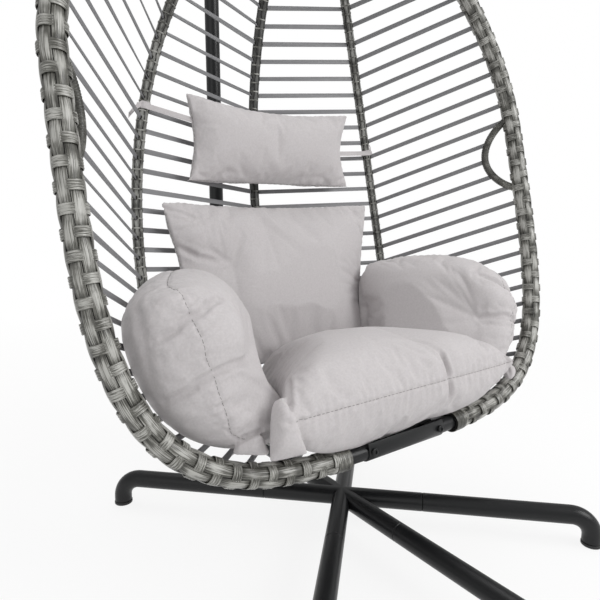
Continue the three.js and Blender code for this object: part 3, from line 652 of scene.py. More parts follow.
# shade, edgeShade and bandShade set how much painted shade the weave gets in its dips and at strip edges
rimWrap = {
    "finish": stakeFinish, "shade": 1.0, "radius": 0.0186, "wave": 0.0012, "crown": 0.0007, "thickness": 0.0009,
    "stakes": 6, "stakeShare": 0.94, "stakeSteps": 12, "stakeFaces": 4, "period": 0.062, "bandLength": 0.0150,
    "strands": 4, "strandShare": 0.86, "bandRise": 0.0006, "bandBase": 0.4, "bandLead": 0.1, "bandSides": 36,
    "deepest": -0.9, "flatTop": 0.25, "edgeShade": 0.8, "bandShade": 0.45, "endWrap": 0.030, "endStrip": 0.010,
    "endRadius": 0.0200, "endCrown": (1.02, 0.98), "endShare": 0.47, "coreRadius": 0.0165, "coreSides": 12,
    "coreSteps": 90, "coreWall": 0.001, "pathSteps": 200,
}
ribWrap = dict(
    rimWrap, finish=ribFinish, shade=0.3, radius=0.0107, wave=0.0001, crown=0.0005, thickness=0.0005,
    stakeShare=0.93, stakeSteps=8, stakeFaces=2, period=0.040, bandLength=0.0032, strands=1,
    bandRise=0.0005, bandSides=24, endWrap=0.016, endStrip=0.008, endRadius=0.0117, coreRadius=0.0098,
)


for place, side in (("left", -1), ("right", 1)):
    points = [rimPlace(side)(p) for p in evenly(wrapOutline, rimWrap["pathSteps"])]
    dress(wovenSleeve(f"rimWeave_{place}", rimWrap, points), "basket", None, f"rim_wrap_{place}")
ribRoutes = {
    "left": (sideRibOutline, sideRibPlace(-1)),
    "back": (backRibOutline, backRibPlace),
    "right": (sideRibOutline, sideRibPlace(1)),
}
for place, (outline, onRib) in ribRoutes.items():
    points = [onRib(p) for p in evenly(outline, ribWrap["pathSteps"])]
    # the back rib takes the darkened copy: painted shade
    look = dict(ribWrap, finish=paintedShadeFinish) if place == "back" else ribWrap
    dress(wovenSleeve(f"ribWeave_{place}", look, points), "basket", None, f"rib_{place}")
print("woven sleeves made")


# rim tubes, their bare ends show beside the brackets
rimTube = {"radius": 0.0125, "sides": 28, "steps": 120, "wall": 0.002}


def tubeAlong(name, radius, sides, points, wall=0):
    length = pathLength(points)
    steps = len(points) - 1
    tube = tubeEnd(sides, radius, name)
    for _ in range(steps):
        goStraight((length / steps, 0, 0))
    leaveEdit()
    if wall:
        useModifier(tube, "SOLIDIFY", thickness=wall, offset=-1)
    bendAlong(tube, points)
    cleanUp(tube, 1e-6)
    return tube


for place, side in (("left", -1), ("right", 1)):
    points = [rimPlace(side)(p) for p in evenly(tubeOutline, rimTube["steps"])]
    tube = tubeAlong(f"rimTube_{place}", rimTube["radius"], rimTube["sides"], points, rimTube["wall"])
    dress(tube, "basket", blackPaint, f"rim_tube_{place}")

# hand grips
grip = {
    "low": 0.490, "high": 0.672, "depth": 0.082, "radius": 0.0088, "power": 0.62,
    "strand": 0.0042, "sides": 14, "bulge": 0.0007, "steps": 60,
}


def heightToLength(outline, height):
    return next(p[2] for p in outline if p[1] >= height)


gripSpan = [heightToLength(wrapOutline, grip[k]) for k in ("low", "high")]


def inward(length, side):
    share = length / wrapOutline[-1][2]
    start = rimPlace(side)(atLength(wrapOutline, length))
    end = sideRibPlace(side)(atLength(sideRibOutline, share * sideRibOutline[-1][2]))
    return (end - start).normalized()


def gripStandOff(length):
    share = (length - gripSpan[0]) / (gripSpan[1] - gripSpan[0])
    if share <= 0 or share >= 1:
        return 0
    return (grip["depth"] - grip["radius"]) * math.sin(math.pi * share) ** grip["power"]


def gripPath(side, count):
    path = []
    for i in range(count + 1):
        share = (1 - math.cos(math.pi * i / count)) / 2
        length = gripSpan[0] + (gripSpan[1] - gripSpan[0]) * share
        path.append(rimPlace(side)(atLength(wrapOutline, length)) + inward(length, side) * gripStandOff(length))
    return path


def woundGrip(name, points):
    # one strip wound closely round the bow: a rounded turn, repeated
    length = pathLength(points)
    count = round(length / grip["strand"])
    pitch = length / count
    turn = tubeEnd(grip["sides"], grip["radius"] - grip["bulge"], name)
    grow = grip["radius"] / (grip["radius"] - grip["bulge"])
    for share, size in ((0.25, grow), (0.5, 1), (0.25, 1 / grow)):
        goStraight((pitch * share, 0, 0))
        bpy.ops.transform.resize(value=(1, size, size), center_override=(0, 0, 0))
    leaveEdit()
    unrollUv(turn)
    repeated(turn, count, pitch)
    bendAlong(turn, points)
    cleanUp(turn, 1e-6)
    return turn


for place, side in (("left", -1), ("right", 1)):
    bow = woundGrip(f"gripWinding_{place}", gripPath(side, grip["steps"]))
    dress(bow, "basket", bandFinish, f"hand_grip_{place}", smoothAngle=80)
print("tubes and grips made")

# straps
strap = {
    "rows": 38, "lead": 0.027, "width": 0.0105, "thickness": 0.0016, "leastSlant": 0.3, "tuck": 0.0085 * 0.3,
    "pocket": (0.0016, 0.0042, 0.0060), "pocketReach": 0.0106, "leftShift": 0.0125, "steps": 12, "twist": 0.35,
    "besideGrip": 0.010, "atGrip": 0.001, "gripSteps": 90, "probe": 0.004, "midShare": 0.2, "crown": 0.25,
}


def strapStandOff(length):
    beside = grip["radius"] + strap["besideGrip"]
    bow = max(gripStandOff(length + step) for step in (-beside, 0, beside))
    surface = basket["wrapRadius"]
    return max(surface, bow + grip["radius"] if bow > 0 else 0)


def railAt(outline, place, standOff, lead, share, shift=0.0):
    length = (share + 4 * lead * share * (1 - share) + shift) * outline[-1][2]
    at = place(atLength(outline, length))
    probe = strap["probe"]
    tangent = place(atLength(outline, length + probe)) - place(atLength(outline, length - probe))
    return at, tangent.normalized(), standOff(length)


def strapTemplate():
    strip = sheet("strapTemplate", strap["steps"], 2, 1, (0.5, 0, 0))
    editAll(strip)
    bpy.ops.transform.resize(value=(1, strap["width"], 1), center_override=(0, 0, 0))
    leaveEdit()
    chooseVerts(strip, lambda co: abs(co.y) < strap["width"] * strap["midShare"])
    bpy.ops.transform.translate(value=(0, 0, strap["thickness"] * strap["crown"]))
    leaveEdit()
    useModifier(strip, "SOLIDIFY", thickness=strap["thickness"], offset=0)
    return strip


template = strapTemplate()
# pocket: a near-black lump where a strap enters a rib's weave, painted shade in the opening
pocket = shape(bpy.ops.mesh.primitive_uv_sphere_add, "pocket", segments=10, ring_count=6, radius=1)
pocket.scale = strap["pocket"]
settle(pocket)
pockets = []
draw = random.Random(7)


def layStrap(name, start, end, normal, twists):
    along = end - start
    length = along.length
    along.normalize()
    normal = (normal - along * normal.dot(along)).normalized()
    sideways = normal.cross(along)
    strip = template.copy()
    strip.data = template.data.copy()
    strip.name = name
    scene.collection.objects.link(strip)
    for vert in strip.data.vertices:
        turn = twists[0] + (twists[1] - twists[0]) * vert.co.x
        x, y, z = Matrix.Rotation(turn, 3, "X") @ vert.co
        vert.co = start + along * (length * x) + sideways * y + normal * z
    for layer in strip.data.uv_layers:
        for item in layer.data:
            item.uv = (item.uv.x * length, item.uv.y * strap["width"])
    return strip


def strapPanel(name, railA, railB, nodeName):
    strips = []
    for k in range(strap["rows"]):
        share = (k + 0.5) / strap["rows"]
        a, b = railAt(*railA[:4], share, *railA[4:]), railAt(*railB, share)
        along = (b[0] - a[0]).normalized()
        ends = []
        for (at, tangent, offset), sense in ((a, 1), (b, -1)):
            slant = math.sqrt(max(1 - tangent.dot(along) ** 2, 0))
            inset = max(offset - strap["tuck"], 0) / max(slant, strap["leastSlant"])
            ends.append(at + along * (inset * sense))
        for e, offset in enumerate((a[2], b[2])):
            if offset > basket["wrapRadius"] + strap["atGrip"]:
                bow = gripPath(1 if ends[e].x > 0 else -1, strap["gripSteps"])
                other = ends[1 - e]
                line = (ends[e] - other).normalized()
                ends[e] = min(bow, key=lambda spot: (spot - other - line * (spot - other).dot(line)).length)
        middle = (ends[0] + ends[1]) / 2
        facing = basketFoot - middle
        facing -= axisUp * facing.dot(axisUp)
        twists = [draw.uniform(-strap["twist"], strap["twist"]) for _ in range(2)]
        strips.append(layStrap(f"{name}Row", ends[0], ends[1], facing, twists))
        # a pocket of painted shade at each strap end that goes into a rib
        for spot, at, offset in ((ends[0], a[0], a[2]), (ends[1], b[0], b[2])):
            if offset < basket["wrapRadius"]:
                outward = (spot - at).normalized()
                turn = outward.to_track_quat("X", "Z").to_matrix().to_4x4()
                place = Matrix.Translation(at + outward * strap["pocketReach"]) @ turn
                pockets.append(copyPiece(pocket, f"{name}Pocket", place))
    panel = joinPieces(strips, name)
    cleanUp(panel, 1e-7)
    return dress(panel, "basket", strapFinish, nodeName, smoothAngle=30)


ribStandOff = lambda length: basket["ribRadius"]
rimRail = {side: (wrapOutline, rimPlace(side), strapStandOff, strap["lead"]) for side in (-1, 1)}
ribRail = {name: (outline, place, ribStandOff, 0) for name, (outline, place) in ribRoutes.items()}
strapPanel("strapRows_leftFront", rimRail[-1], ribRail["left"], "straps_left_front")
strapPanel("strapRows_leftRear", (*ribRail["left"], strap["leftShift"]), ribRail["back"], "straps_left_rear")
strapPanel("strapRows_rightRear", ribRail["back"], ribRail["right"], "straps_right_rear")
strapPanel("strapRows_rightFront", ribRail["right"], rimRail[1], "straps_right_front")
bpy.data.objects.remove(template)
bpy.data.objects.remove(pocket)
dress(joinPieces(pockets, "strapPocketShade"), "basket", shadeFillFinish)
print("straps made")

# stand
stand = {
    "tubeRadius": 0.019, "tubeHeight": 0.062, "hubReach": 0.171, "armReach": 0.512, "footBend": 0.044,
    "frontReach": 0.55935, "capHeight": 0.007, "capRim": 0.001, "capEdge": 0.0018, "plugEdge": 0.0024,
    "sides": 36, "gap": 0.0004, "edge": 0.0009, "eye": (0.017, 0.005), "eyeSink": 0.001,
    "rearSeam": 0.200, "postReach": 0.561, "postBend": 0.260, "postSeam": 0.960, "topBend": 0.330,
    "topHeight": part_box("upper_post")[1].z - 0.019, "postEnd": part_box("post_end_cap")[1].y + 0.0003,
}


def bentTube(name, start, end, heading, turned=None, bend=0, steps=0, radius=stand["tubeRadius"]):
    # a tube with turned ends that runs straight, or round one bend to another heading, to its end
    edge = stand["edge"]
    small = (radius - edge) / radius
    turn = heading.to_track_quat("Z", "Y").to_euler()
    tube = shape(bpy.ops.mesh.primitive_circle_add, name, vertices=stand["sides"], radius=radius - edge,
                 location=start, rotation=turn)
    editAll(tube)
    goStraight(heading * edge)
    bpy.ops.transform.resize(value=(1 / small,) * 3, center_override=start + heading * edge)
    if turned:
        goStraight(heading * ((end - start).dot(heading) - bend - edge))
        centre = start + heading * ((end - start).dot(heading) - bend) + turned * bend
        bpy.ops.mesh.spin(steps=steps, dupli=False, angle=-quarter, center=centre, axis=heading.cross(turned))
        heading = turned
        goStraight(heading * ((end - centre).dot(heading) - edge))
    else:
        goStraight(heading * ((end - start).length - 2 * edge))
    goStraight(heading * edge)
    bpy.ops.transform.resize(value=(small,) * 3, center_override=end)
    leaveEdit()
    cleanUp(tube)
    return tube


up, down = Vector((0, 0, 1)), Vector((0, 0, -1))
backwards, forwards = Vector((0, 1, 0)), Vector((0, -1, 0))


def flat(degrees):
    return Vector((math.cos(math.radians(degrees)), math.sin(math.radians(degrees)), 0))


arms = {
    "front_right": (-45, stand["armReach"]), "rear_right": (45, stand["armReach"]),
    "rear_left": (135, stand["armReach"]), "front_left": (225, stand["armReach"]),
    "front": (-90, stand["frontReach"]),
}
level = up * stand["tubeHeight"]
for place, (degrees, reach) in arms.items():
    heading = flat(degrees)
    start = level + heading * (stand["hubReach"] + stand["gap"])
    end = heading * reach + up * (stand["capHeight"] + stand["gap"])
    tube = bentTube(f"baseArm_{place}", start, end, heading, down, stand["footBend"], 14)
    dress(tube, "stand", blackPaint, f"base_arm_{place}")
    cap = cylinder(f"footCap_{place}", stand["tubeRadius"] + stand["capRim"], stand["capHeight"], stand["sides"],
                   heading * reach + up * (stand["capHeight"] / 2))
    roundEdges(cap, stand["capEdge"], 3, 40)
    dress(cap, "stand", blackPlastic, f"foot_cap_{place}")

# the hub: two crossed tubes and the spine, welded into one
hub = None
for heading, ends in ((flat(-45), (-stand["hubReach"], stand["hubReach"])),
                      (flat(45), (-stand["hubReach"], stand["hubReach"])),
                      (backwards, (-stand["hubReach"], stand["rearSeam"]))):
    start, end = (level + heading * reach for reach in ends)
    tube = bentTube("baseHub", start, end, (end - start).normalized())
    if hub:
        useModifier(hub, "BOOLEAN", operation="UNION", solver="EXACT", object=tube)
        bpy.data.objects.remove(tube)
    hub = hub or tube
dress(hub, "stand", blackPaint, "base_hub")


def hangCentre(nodeName):
    low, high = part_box(nodeName)
    return Vector((0, (low.y + high.y) / 2, (low.z + high.z) / 2))


linkSides = (40, 16)


def wireRing(name, centre, radius, wire, plane, stretch=0.0):
    # a welded link: a torus drawn out between its two halves
    turn = (quarter, 0, 0) if plane == "XZ" else (0, quarter, 0)
    link = ring(name, radius, wire, linkSides, centre, turn)
    for sense in (-1, 1) if stretch else ():
        chooseVerts(link, lambda co: (co.z - centre[2]) * sense > 1e-4)
        bpy.ops.transform.translate(value=(0, 0, stretch * sense))
        leaveEdit()
    return link


postLine = backwards * stand["postReach"]
start = level + backwards * (stand["rearSeam"] + stand["gap"])
lowerPost = bentTube("lowerPost", start, postLine + up * stand["postSeam"], backwards, up, stand["postBend"], 24)
dress(lowerPost, "stand", blackPaint, "lower_post")
start = postLine + up * (stand["postSeam"] + stand["gap"])
end = backwards * stand["postEnd"] + up * stand["topHeight"]
upperPost = bentTube("upperPost", start, end, up, forwards, stand["topBend"], 30)
eyeRadius, eyeWire = stand["eye"]
eyeHeight = stand["topHeight"] - stand["tubeRadius"] - eyeRadius + stand["eyeSink"]
postEye = wireRing("postEye", (0, hangCentre("upper_hook").y, eyeHeight), eyeRadius, eyeWire, "YZ")
dress(joinPieces([upperPost, postEye], "upperPost"), "stand", blackPaint, "upper_post")
low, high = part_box("post_end_cap")
plug = cylinder("postCap", (high.x - low.x) / 2, high.y - low.y, stand["sides"], (low + high) / 2, quarter)
roundEdges(plug, stand["plugEdge"], 4, 40)
dress(plug, "stand", blackPlastic, "post_end_cap")
print("stand made")

# hanging gear
gear = {"hookWire": 0.005, "hookRadius": 0.015, "upperStretch": 0.017, "lowerStretch": 0.0385,
        "springRadius": 0.022, "springWire": 0.0042, "springTurns": 16, "turnSteps": 20, "coilGap": 0.001,
        "loop": 0.013, "hookStep": 30, "hookPoints": 9}
for nodeName, name, body, plane in (("upper_hook", "upper", "upper_link", "XZ"),
                                    ("lower_hook", "lower", "basket", "YZ")):
    link = wireRing(f"{name}Hook", hangCentre(nodeName), gear["hookRadius"], gear["hookWire"], plane,
                    gear[f"{name}Stretch"])
    dress(link, body, zinc, nodeName, 60)


def lathe(name, profile, y):
    # a profile of (radius, height) turned round the hanging axis
    points = [(radius, y, z) for radius, z in profile]
    piece = drawn(name, points, [(i, i + 1) for i in range(len(points) - 1)], [])
    bpy.ops.mesh.spin(steps=swivel["sides"], angle=fullTurn, center=(0, y, 0), axis=(0, 0, 1))
    leaveEdit()
    cleanUp(piece)
    roundEdges(piece, swivel["edge"])
    return piece


swivel = {"ring": 0.013, "barrelRadius": 0.012, "neck": 0.005, "head": 0.008, "height": 0.026, "floor": 0.005,
          "roof": 0.008, "play": 0.0003, "edge": 0.0008, "sides": 32}
barrelLow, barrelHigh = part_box("swivel_barrel")
pinLow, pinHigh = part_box("swivel_pin")
swivelY = hangCentre("swivel_barrel").y
barrelBottom = barrelLow.z
barrelTop = barrelBottom + swivel["height"]
barrelFloor = barrelBottom + swivel["floor"]
roof = barrelTop - swivel["roof"]
bore, throat = swivel["head"] + swivel["play"], swivel["neck"] + swivel["play"]
shell = lathe("swivelBarrel", [
    (0, roof), (bore, roof), (bore, barrelFloor), (throat, barrelFloor), (throat, barrelBottom),
    (swivel["barrelRadius"], barrelBottom), (swivel["barrelRadius"], barrelTop), (0, barrelTop),
], swivelY)
ringReach = swivel["ring"] + gear["hookWire"]
upperRing = wireRing("barrelRing", (0, swivelY, barrelHigh.z - ringReach), swivel["ring"], gear["hookWire"], "YZ")
dress(joinPieces([shell, upperRing], "swivelBarrel"), "swivel_top", zinc, "swivel_barrel")
stemFoot = pinLow.z + ringReach + swivel["ring"]
headFoot = barrelFloor + swivel["play"]
stem = lathe("swivelPin", [
    (0, stemFoot), (swivel["neck"], stemFoot), (swivel["neck"], headFoot), (swivel["head"], headFoot),
    (swivel["head"], pinHigh.z), (0, pinHigh.z),
], swivelY)
lowerRing = wireRing("pinRing", (0, swivelY, pinLow.z + ringReach), swivel["ring"], gear["hookWire"], "YZ")
dress(joinPieces([stem, lowerRing], "swivelPin"), "swivel_bottom", zinc, "swivel_pin")


def hangingSpring():
    low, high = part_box("hanging_spring")
    y = hangCentre("lower_hook").y
    loop, wire, turns, steps = (gear[key] for key in ("loop", "springWire", "springTurns", "turnSteps"))
    topWire, bottomWire = high.z - wire, low.z + wire
    coilLength = turns * (2 * wire + gear["coilGap"])
    coilTop = (topWire + bottomWire + coilLength) / 2
    hook = [(loop * math.cos(turn), loop * (1 - math.sin(turn)))
            for turn in (math.radians((i - 1) * gear["hookStep"]) for i in range(gear["hookPoints"]))]
    points = [Vector((x, y, topWire - drop)) for x, drop in reversed(hook)]
    for i in range(turns * steps + 1):
        turn = i / steps * fullTurn
        across, back = gear["springRadius"] * math.cos(turn), gear["springRadius"] * math.sin(turn)
        points.append(Vector((across, y + back, coilTop - coilLength * i / (turns * steps))))
    points += [Vector((x, y, bottomWire + drop)) for x, drop in hook]
    spring = wireAlong("hangingSpring", [points], wire, 4, capped=True)
    cleanUp(spring, 1e-6)
    dress(spring, None, zinc, "hanging_spring", 60)
    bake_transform(spring)


hangingSpring()
print("hanging gear made")

# brackets
bracket = {"halfLength": 0.098, "inner": 0.027, "wall": 0.003, "depth": 0.033, "bolt": 0.087, "edge": 0.0005,
           "plateLength": 0.066, "plateWidth": 0.070, "plateThickness": 0.005, "plateGap": 0.0003,
           "shoulder": 0.75, "nose": 0.008, "noseShare": 0.8, "bendSteps": 16}


def bracketFrame(top):
    away = axisUp * (1 if top else -1)
    across = axisBack.cross(away)
    place = basketPoint(basket["height"] if top else 0, 0, 0)
    rows = Matrix((across, axisBack, away)).transposed().to_4x4()
    rows.translation = place
    return rows


def channelPiece(name):
    # one wall, spun round the bracket's long axis and drawn down on the other side
    outer = bracket["inner"] / 2 + bracket["wall"]
    lip = bracket["depth"] - outer
    half = bracket["halfLength"]
    corners = [(-half, -outer, -lip), (half, -outer, -lip), (half, -outer, 0), (-half, -outer, 0)]
    piece = drawn(name, corners, [], [range(4)])
    leaveEdit()
    chooseVerts(piece, lambda co: abs(co.z) < 1e-5)
    bpy.ops.mesh.spin(steps=bracket["bendSteps"], angle=math.pi, center=(0, 0, 0), axis=(1, 0, 0))
    goStraight(down * lip)
    leaveEdit()
    cleanUp(piece, 1e-6, closed=False)
    probe = max(piece.data.polygons, key=lambda p: p.center.z)
    if probe.normal.z < 0:
        editAll(piece)
        bpy.ops.mesh.flip_normals()
        leaveEdit()
    useModifier(piece, "SOLIDIFY", thickness=bracket["wall"], offset=-1)
    return piece


def ribPlate(name):
    inner = bracket["inner"] / 2
    reach = bracket["plateLength"] + inner
    shoulder, nose = reach * bracket["shoulder"], reach + bracket["nose"]
    width = bracket["plateWidth"]
    noseWidth = width * bracket["noseShare"]
    foot = basket["ribRadius"] + bracket["plateGap"]
    root = math.sqrt((inner + bracket["wall"] / 2) ** 2 - foot ** 2)
    corners = [(-width / 2, root), (width / 2, root), (width, shoulder), (noseWidth, nose),
               (-noseWidth, nose), (-width, shoulder)]
    plate = drawn(name, [(x, y, foot) for x, y in corners], [], [range(6)])
    goStraight(up * bracket["plateThickness"])
    leaveEdit()
    cleanUp(plate, 1e-6)
    return plate


for level, top in (("bottom", False), ("top", True)):
    piece = joinPieces([channelPiece("channel"), ribPlate("plate")], f"{level}Bracket")
    roundEdges(piece, bracket["edge"])
    piece.data.transform(bracketFrame(top))
    if top:
        eyeRadius, eyeWire = stand["eye"]
        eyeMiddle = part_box("top_bracket")[1].z - eyeRadius - eyeWire
        eye = wireRing("basketEye", (0, hangCentre("lower_hook").y, eyeMiddle), eyeRadius, eyeWire, "XZ")
        piece = joinPieces([piece, eye], f"{level}Bracket")
    dress(piece, "basket", blackPaint, f"{level}_bracket")


fastener = {"radius": 0.004, "head": 0.007, "headHeight": 0.004, "nutHeight": 0.006, "ribRadius": 0.003,
            "ribHead": 0.006, "ribHeadHeight": 0.003, "edge": 0.0006, "gap": 0.0003, "dome": 0.6,
            "headRim": 0.18, "socket": 0.45, "inHead": 0.001, "rimSpare": 0.010, "ribSpare": 0.009,
            "ribSpan": 0.0113, "ribLift": 0.0002, "headSides": 24, "shankSides": 20, "profile": 0.6}


def boltPiece(radius, headRadius, headHeight, length):
    # domed head towards -Y with a socket, shank towards +Y
    head = cylinder("head", headRadius, headHeight, fastener["headSides"], (0, -headHeight / 2, 0), quarter)
    chooseVerts(head, lambda co: co.y < -headHeight * 0.9)
    bpy.ops.mesh.bevel(offset=headHeight * fastener["dome"], segments=4, profile=fastener["profile"])
    leaveEdit()
    chooseVerts(head, lambda co: co.y < -headHeight * 0.98)
    bpy.ops.mesh.inset(thickness=headRadius * fastener["headRim"], depth=0)
    goStraight((0, headHeight * fastener["socket"], 0))
    leaveEdit()
    middle = (0, length / 2 - fastener["inHead"], 0)
    shank = cylinder("shank", radius, length, fastener["shankSides"], middle, quarter)
    roundEdges(shank, fastener["edge"], 1)
    return joinPieces([head, shank], "boltTemplate")


def nutPiece(boltRadius, acrossRadius, height):
    nut = shape(bpy.ops.mesh.primitive_circle_add, "nut", vertices=6, radius=acrossRadius,
                rotation=(quarter, 0, 0))
    editAll(nut)
    bpy.ops.mesh.subdivide(number_cuts=3)
    bpy.ops.mesh.extrude_edges_move()
    shrink = (boltRadius + fastener["gap"]) / acrossRadius
    bpy.ops.transform.resize(value=(shrink,) * 3, center_override=(0, 0, 0))
    leaveEdit()
    useModifier(nut, "SOLIDIFY", thickness=height, offset=0)
    nut.data.transform(Matrix.Translation((0, height / 2, 0)))
    cleanUp(nut, 1e-6, closed=False)
    return nut


channelOuter = bracket["inner"] / 2 + bracket["wall"]
rimBolt = boltPiece(fastener["radius"], fastener["head"], fastener["headHeight"],
                    2 * channelOuter + fastener["rimSpare"])
rimNut = nutPiece(fastener["radius"], fastener["head"], fastener["nutHeight"])
for level, top in (("lower", False), ("upper", True)):
    for place, side in (("left", -1), ("right", 1)):
        x = side * bracket["bolt"] * (1 if top else -1)
        toWorld = bracketFrame(top)
        low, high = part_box(f"rim_bolt_{level}_{place}")
        slide = Matrix.Translation(((low.x + high.x) / 2 - (toWorld @ Vector((x, 0, 0))).x, 0, 0))
        outer = channelOuter + fastener["gap"]
        bolt = copyPiece(rimBolt, f"rimBolt_{level}_{place}", slide @ toWorld @ Matrix.Translation((x, -outer, 0)))
        nut = copyPiece(rimNut, f"rimNut_{level}_{place}", slide @ toWorld @ Matrix.Translation((x, outer, 0)))
        dress(bolt, "basket", blackPaint, f"rim_bolt_{level}_{place}")
        dress(nut, "basket", zinc, f"rim_nut_{level}_{place}", 30)

ribBolt = boltPiece(fastener["ribRadius"], fastener["ribHead"], fastener["ribHeadHeight"],
                    2 * basket["ribRadius"] + fastener["ribSpare"])
for level, top in (("lower", False), ("upper", True)):
    away = axisUp * (1 if top else -1)
    turn = (-away).to_track_quat("Y", "Z").to_matrix().to_4x4()
    # from the middle of the node's box out to the head's inner face
    length = basket["ribRadius"] * 2 + fastener["ribSpan"]
    out = away * (length / 2 - fastener["ribHeadHeight"] / 2 + fastener["ribLift"])
    for place in ("left", "back", "right"):
        low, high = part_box(f"rib_bolt_{level}_{place}")
        bolt = copyPiece(ribBolt, f"ribBolt_{level}_{place}", Matrix.Translation((low + high) / 2 + out) @ turn)
        dress(bolt, "basket", blackPaint, f"rib_bolt_{level}_{place}")
for model in (rimBolt, rimNut, ribBolt):
    bpy.data.objects.remove(model)
print("brackets and bolts made")

# cushions
padding = {"voxel": 0.006, "shrink": 0.002, "pressure": 6.0, "slack": -0.025, "frames": 20, "gridSteps": 44,
           "pinReach": 0.007, "grooveDepth": 0.0026, "grooveWidth": 0.0032, "puckerReach": 0.022,
           "puckerPitch": 0.017, "lineStep": 0.003, "gap": 0.0006, "earReach": 0.050, "earFullness": 2.4,
           "earFoldWidth": 0.0045, "foldPasses": ((0.5, 2.2), (0.8, 0.7)), "foldEase": 0.6, "foldBank": (0.4, 2.1),
           "foldEnd": 0.04, "markSteps": 24, "puckerSpread": (0.6, 1.4), "puckerEnd": 2.2}
seat = {"width": 0.620, "rearWidth": 0.250, "taper": 1.8, "depth": 0.372, "thickness": 0.164, "back": 0.1126,
        "height": 0.1004, "rise": 0.020, "drawn": 0.04, "fullness": 6, "rounded": 0.08, "spread": 0.018}
arm = {"wallShare": 0.98, "wallStart": 0.01, "low": 0.048, "highFront": 0.322, "highRear": 0.392,
       "thickness": 0.160, "fullness": 6, "rounded": 0.3, "rearSkew": 0.165, "clearance": -0.0115, "tuck": 0.030,
       "setBack": 0.065, "reach": 0.050, "swell": (0.020, 0.4), "slim": (0.008, -0.5), "swellWidth": 0.4}
backPad = {"width": 0.575, "lowWidth": 0.430, "height": 0.354, "thickness": 0.098, "standOff": 0.015,
           "middleShare": 0.303, "bow": 0.033, "drawn": 0.02, "fullness": 3, "shift": -0.005, "sag": 0.018}
headPad = {"width": 0.455, "lowWidth": 0.455, "height": 0.182, "thickness": 0.092, "standOff": 0.0083,
           "middleShare": 0.574, "bow": 0.031, "drawn": 0.1, "fullness": 3, "shift": 0.004, "sag": 0.0}


def reachAt(outline, height):
    i = max(next((k for k, p in enumerate(outline) if p[1] >= height), 1), 1)
    share = (height - outline[i - 1][1]) / (outline[i][1] - outline[i - 1][1])
    return outline[i - 1][0] + (outline[i][0] - outline[i - 1][0]) * share


def drawnIn(u, v, share):
    return u * (1 - share * (1 - v * v))


def cornered(u, v, share):
    return u * math.sqrt(1 - share * v * v)


def seatPlace(u, v, w):
    rounded = seat["rounded"] if v < 0 < u else 0
    u, v = cornered(u, v, rounded), cornered(v, u, rounded)
    back = seat["back"] + seat["depth"] / 2 * drawnIn(v, u, seat["drawn"])
    share = (v + 1) / 2
    half = (seat["rearWidth"] + (seat["width"] - seat["rearWidth"]) * (1 - share) ** seat["taper"]) / 2
    height = seat["height"] + seat["rise"] * share * share + seat["thickness"] / 2 * w
    side = half * drawnIn(u, v, seat["drawn"]) - seat["spread"] * ((1 - u) / 2) ** 3 * (1 - v * v)
    return basketPoint(height, side, back)


def armPlace(side):
    def place(u, v, w):
        skew = arm["rearSkew"] * (1 + w) * (1 + u) ** 2 / 8
        run = arm["wallShare"] - arm["wallStart"]
        share = skew + arm["wallStart"] + run * (1 + cornered(u, v, arm["rounded"])) / 2
        high = arm["highFront"] + (arm["highRear"] - arm["highFront"]) * share
        height = arm["low"] + (high - arm["low"]) * (1 + cornered(v, u, arm["rounded"])) / 2
        thick = arm["thickness"] / 2 * (1 + w)
        if side > 0:
            height -= arm["tuck"] * ((1 - u) / 2) ** 5 * ((1 + v) / 2) ** 3
            share += arm["setBack"] * ((1 - u) / 2) ** 3 + arm["reach"] * ((1 + u) / 2) ** 3
        else:
            fuller, thinner = (size * math.exp(-((v - middle) / arm["swellWidth"]) ** 2)
                               for size, middle in (arm["swell"], arm["slim"]))
            thick += (fuller - thinner) * (1 + w) / 2
        rim = reachAt(rimOutline, height) - basket["wrapRadius"]
        rib = (reachAt(sideOutline, height) - basket["ribRadius"]) * math.sqrt(0.5)
        wall = Vector((rim, 0)).lerp(Vector((rib, rib)), share)
        wall += Vector((-rib, rib - rim)).normalized() * (arm["clearance"] + thick)
        return basketPoint(height, side * wall.x, wall.y)
    return place


def uprightPlace(size):
    def place(u, v, w):
        width = size["width"] + (size["lowWidth"] - size["width"]) * (1 - v) / 2
        x = width / 2 * drawnIn(u, v, size["drawn"])
        height = size["middleShare"] * basket["height"] + size["height"] / 2 * drawnIn(v, u, size["drawn"])
        height -= size["sag"] * ((1 - v) / 2) ** 3
        back = reachAt(backOutline, height) - basket["ribRadius"] - size["standOff"] - size["thickness"] / 2
        back -= size["bow"] * (x / size["width"]) ** 2 * 4 + size["thickness"] / 2 * w
        return basketPoint(height, x + size["shift"], back)
    return place


def crown(u, v, fullness):
    return math.sqrt(max(1 - abs(u) ** fullness, 0) * max(1 - abs(v) ** fullness, 0))


def cushionShell(name, place, fullness):
    faces = []
    for face in (1, -1):
        half = sheet("half", padding["gridSteps"], padding["gridSteps"], 2)
        for vert in half.data.vertices:
            u, v = (math.sin(quarter * c) for c in vert.co.xy)
            vert.co = place(u, v, face * crown(u, v, fullness))
        faces.append(half)
    shell = joinPieces(faces, name)
    cleanUp(shell, 2e-4)
    return shell


def earPlace(corners, side, thickness):
    # a gathered corner of cloth between four points, each a height, an across and a back
    a, b, c, d = (basketPoint(height, side * across, back) for height, across, back in corners)
    facing = (c - a).cross(b - d).normalized()

    def place(u, v, w):
        s, t = (u + 1) / 2, (1 - v) / 2
        return a.lerp(b, s).lerp(d.lerp(c, s), t) + facing * (w * thickness / 2)
    return place


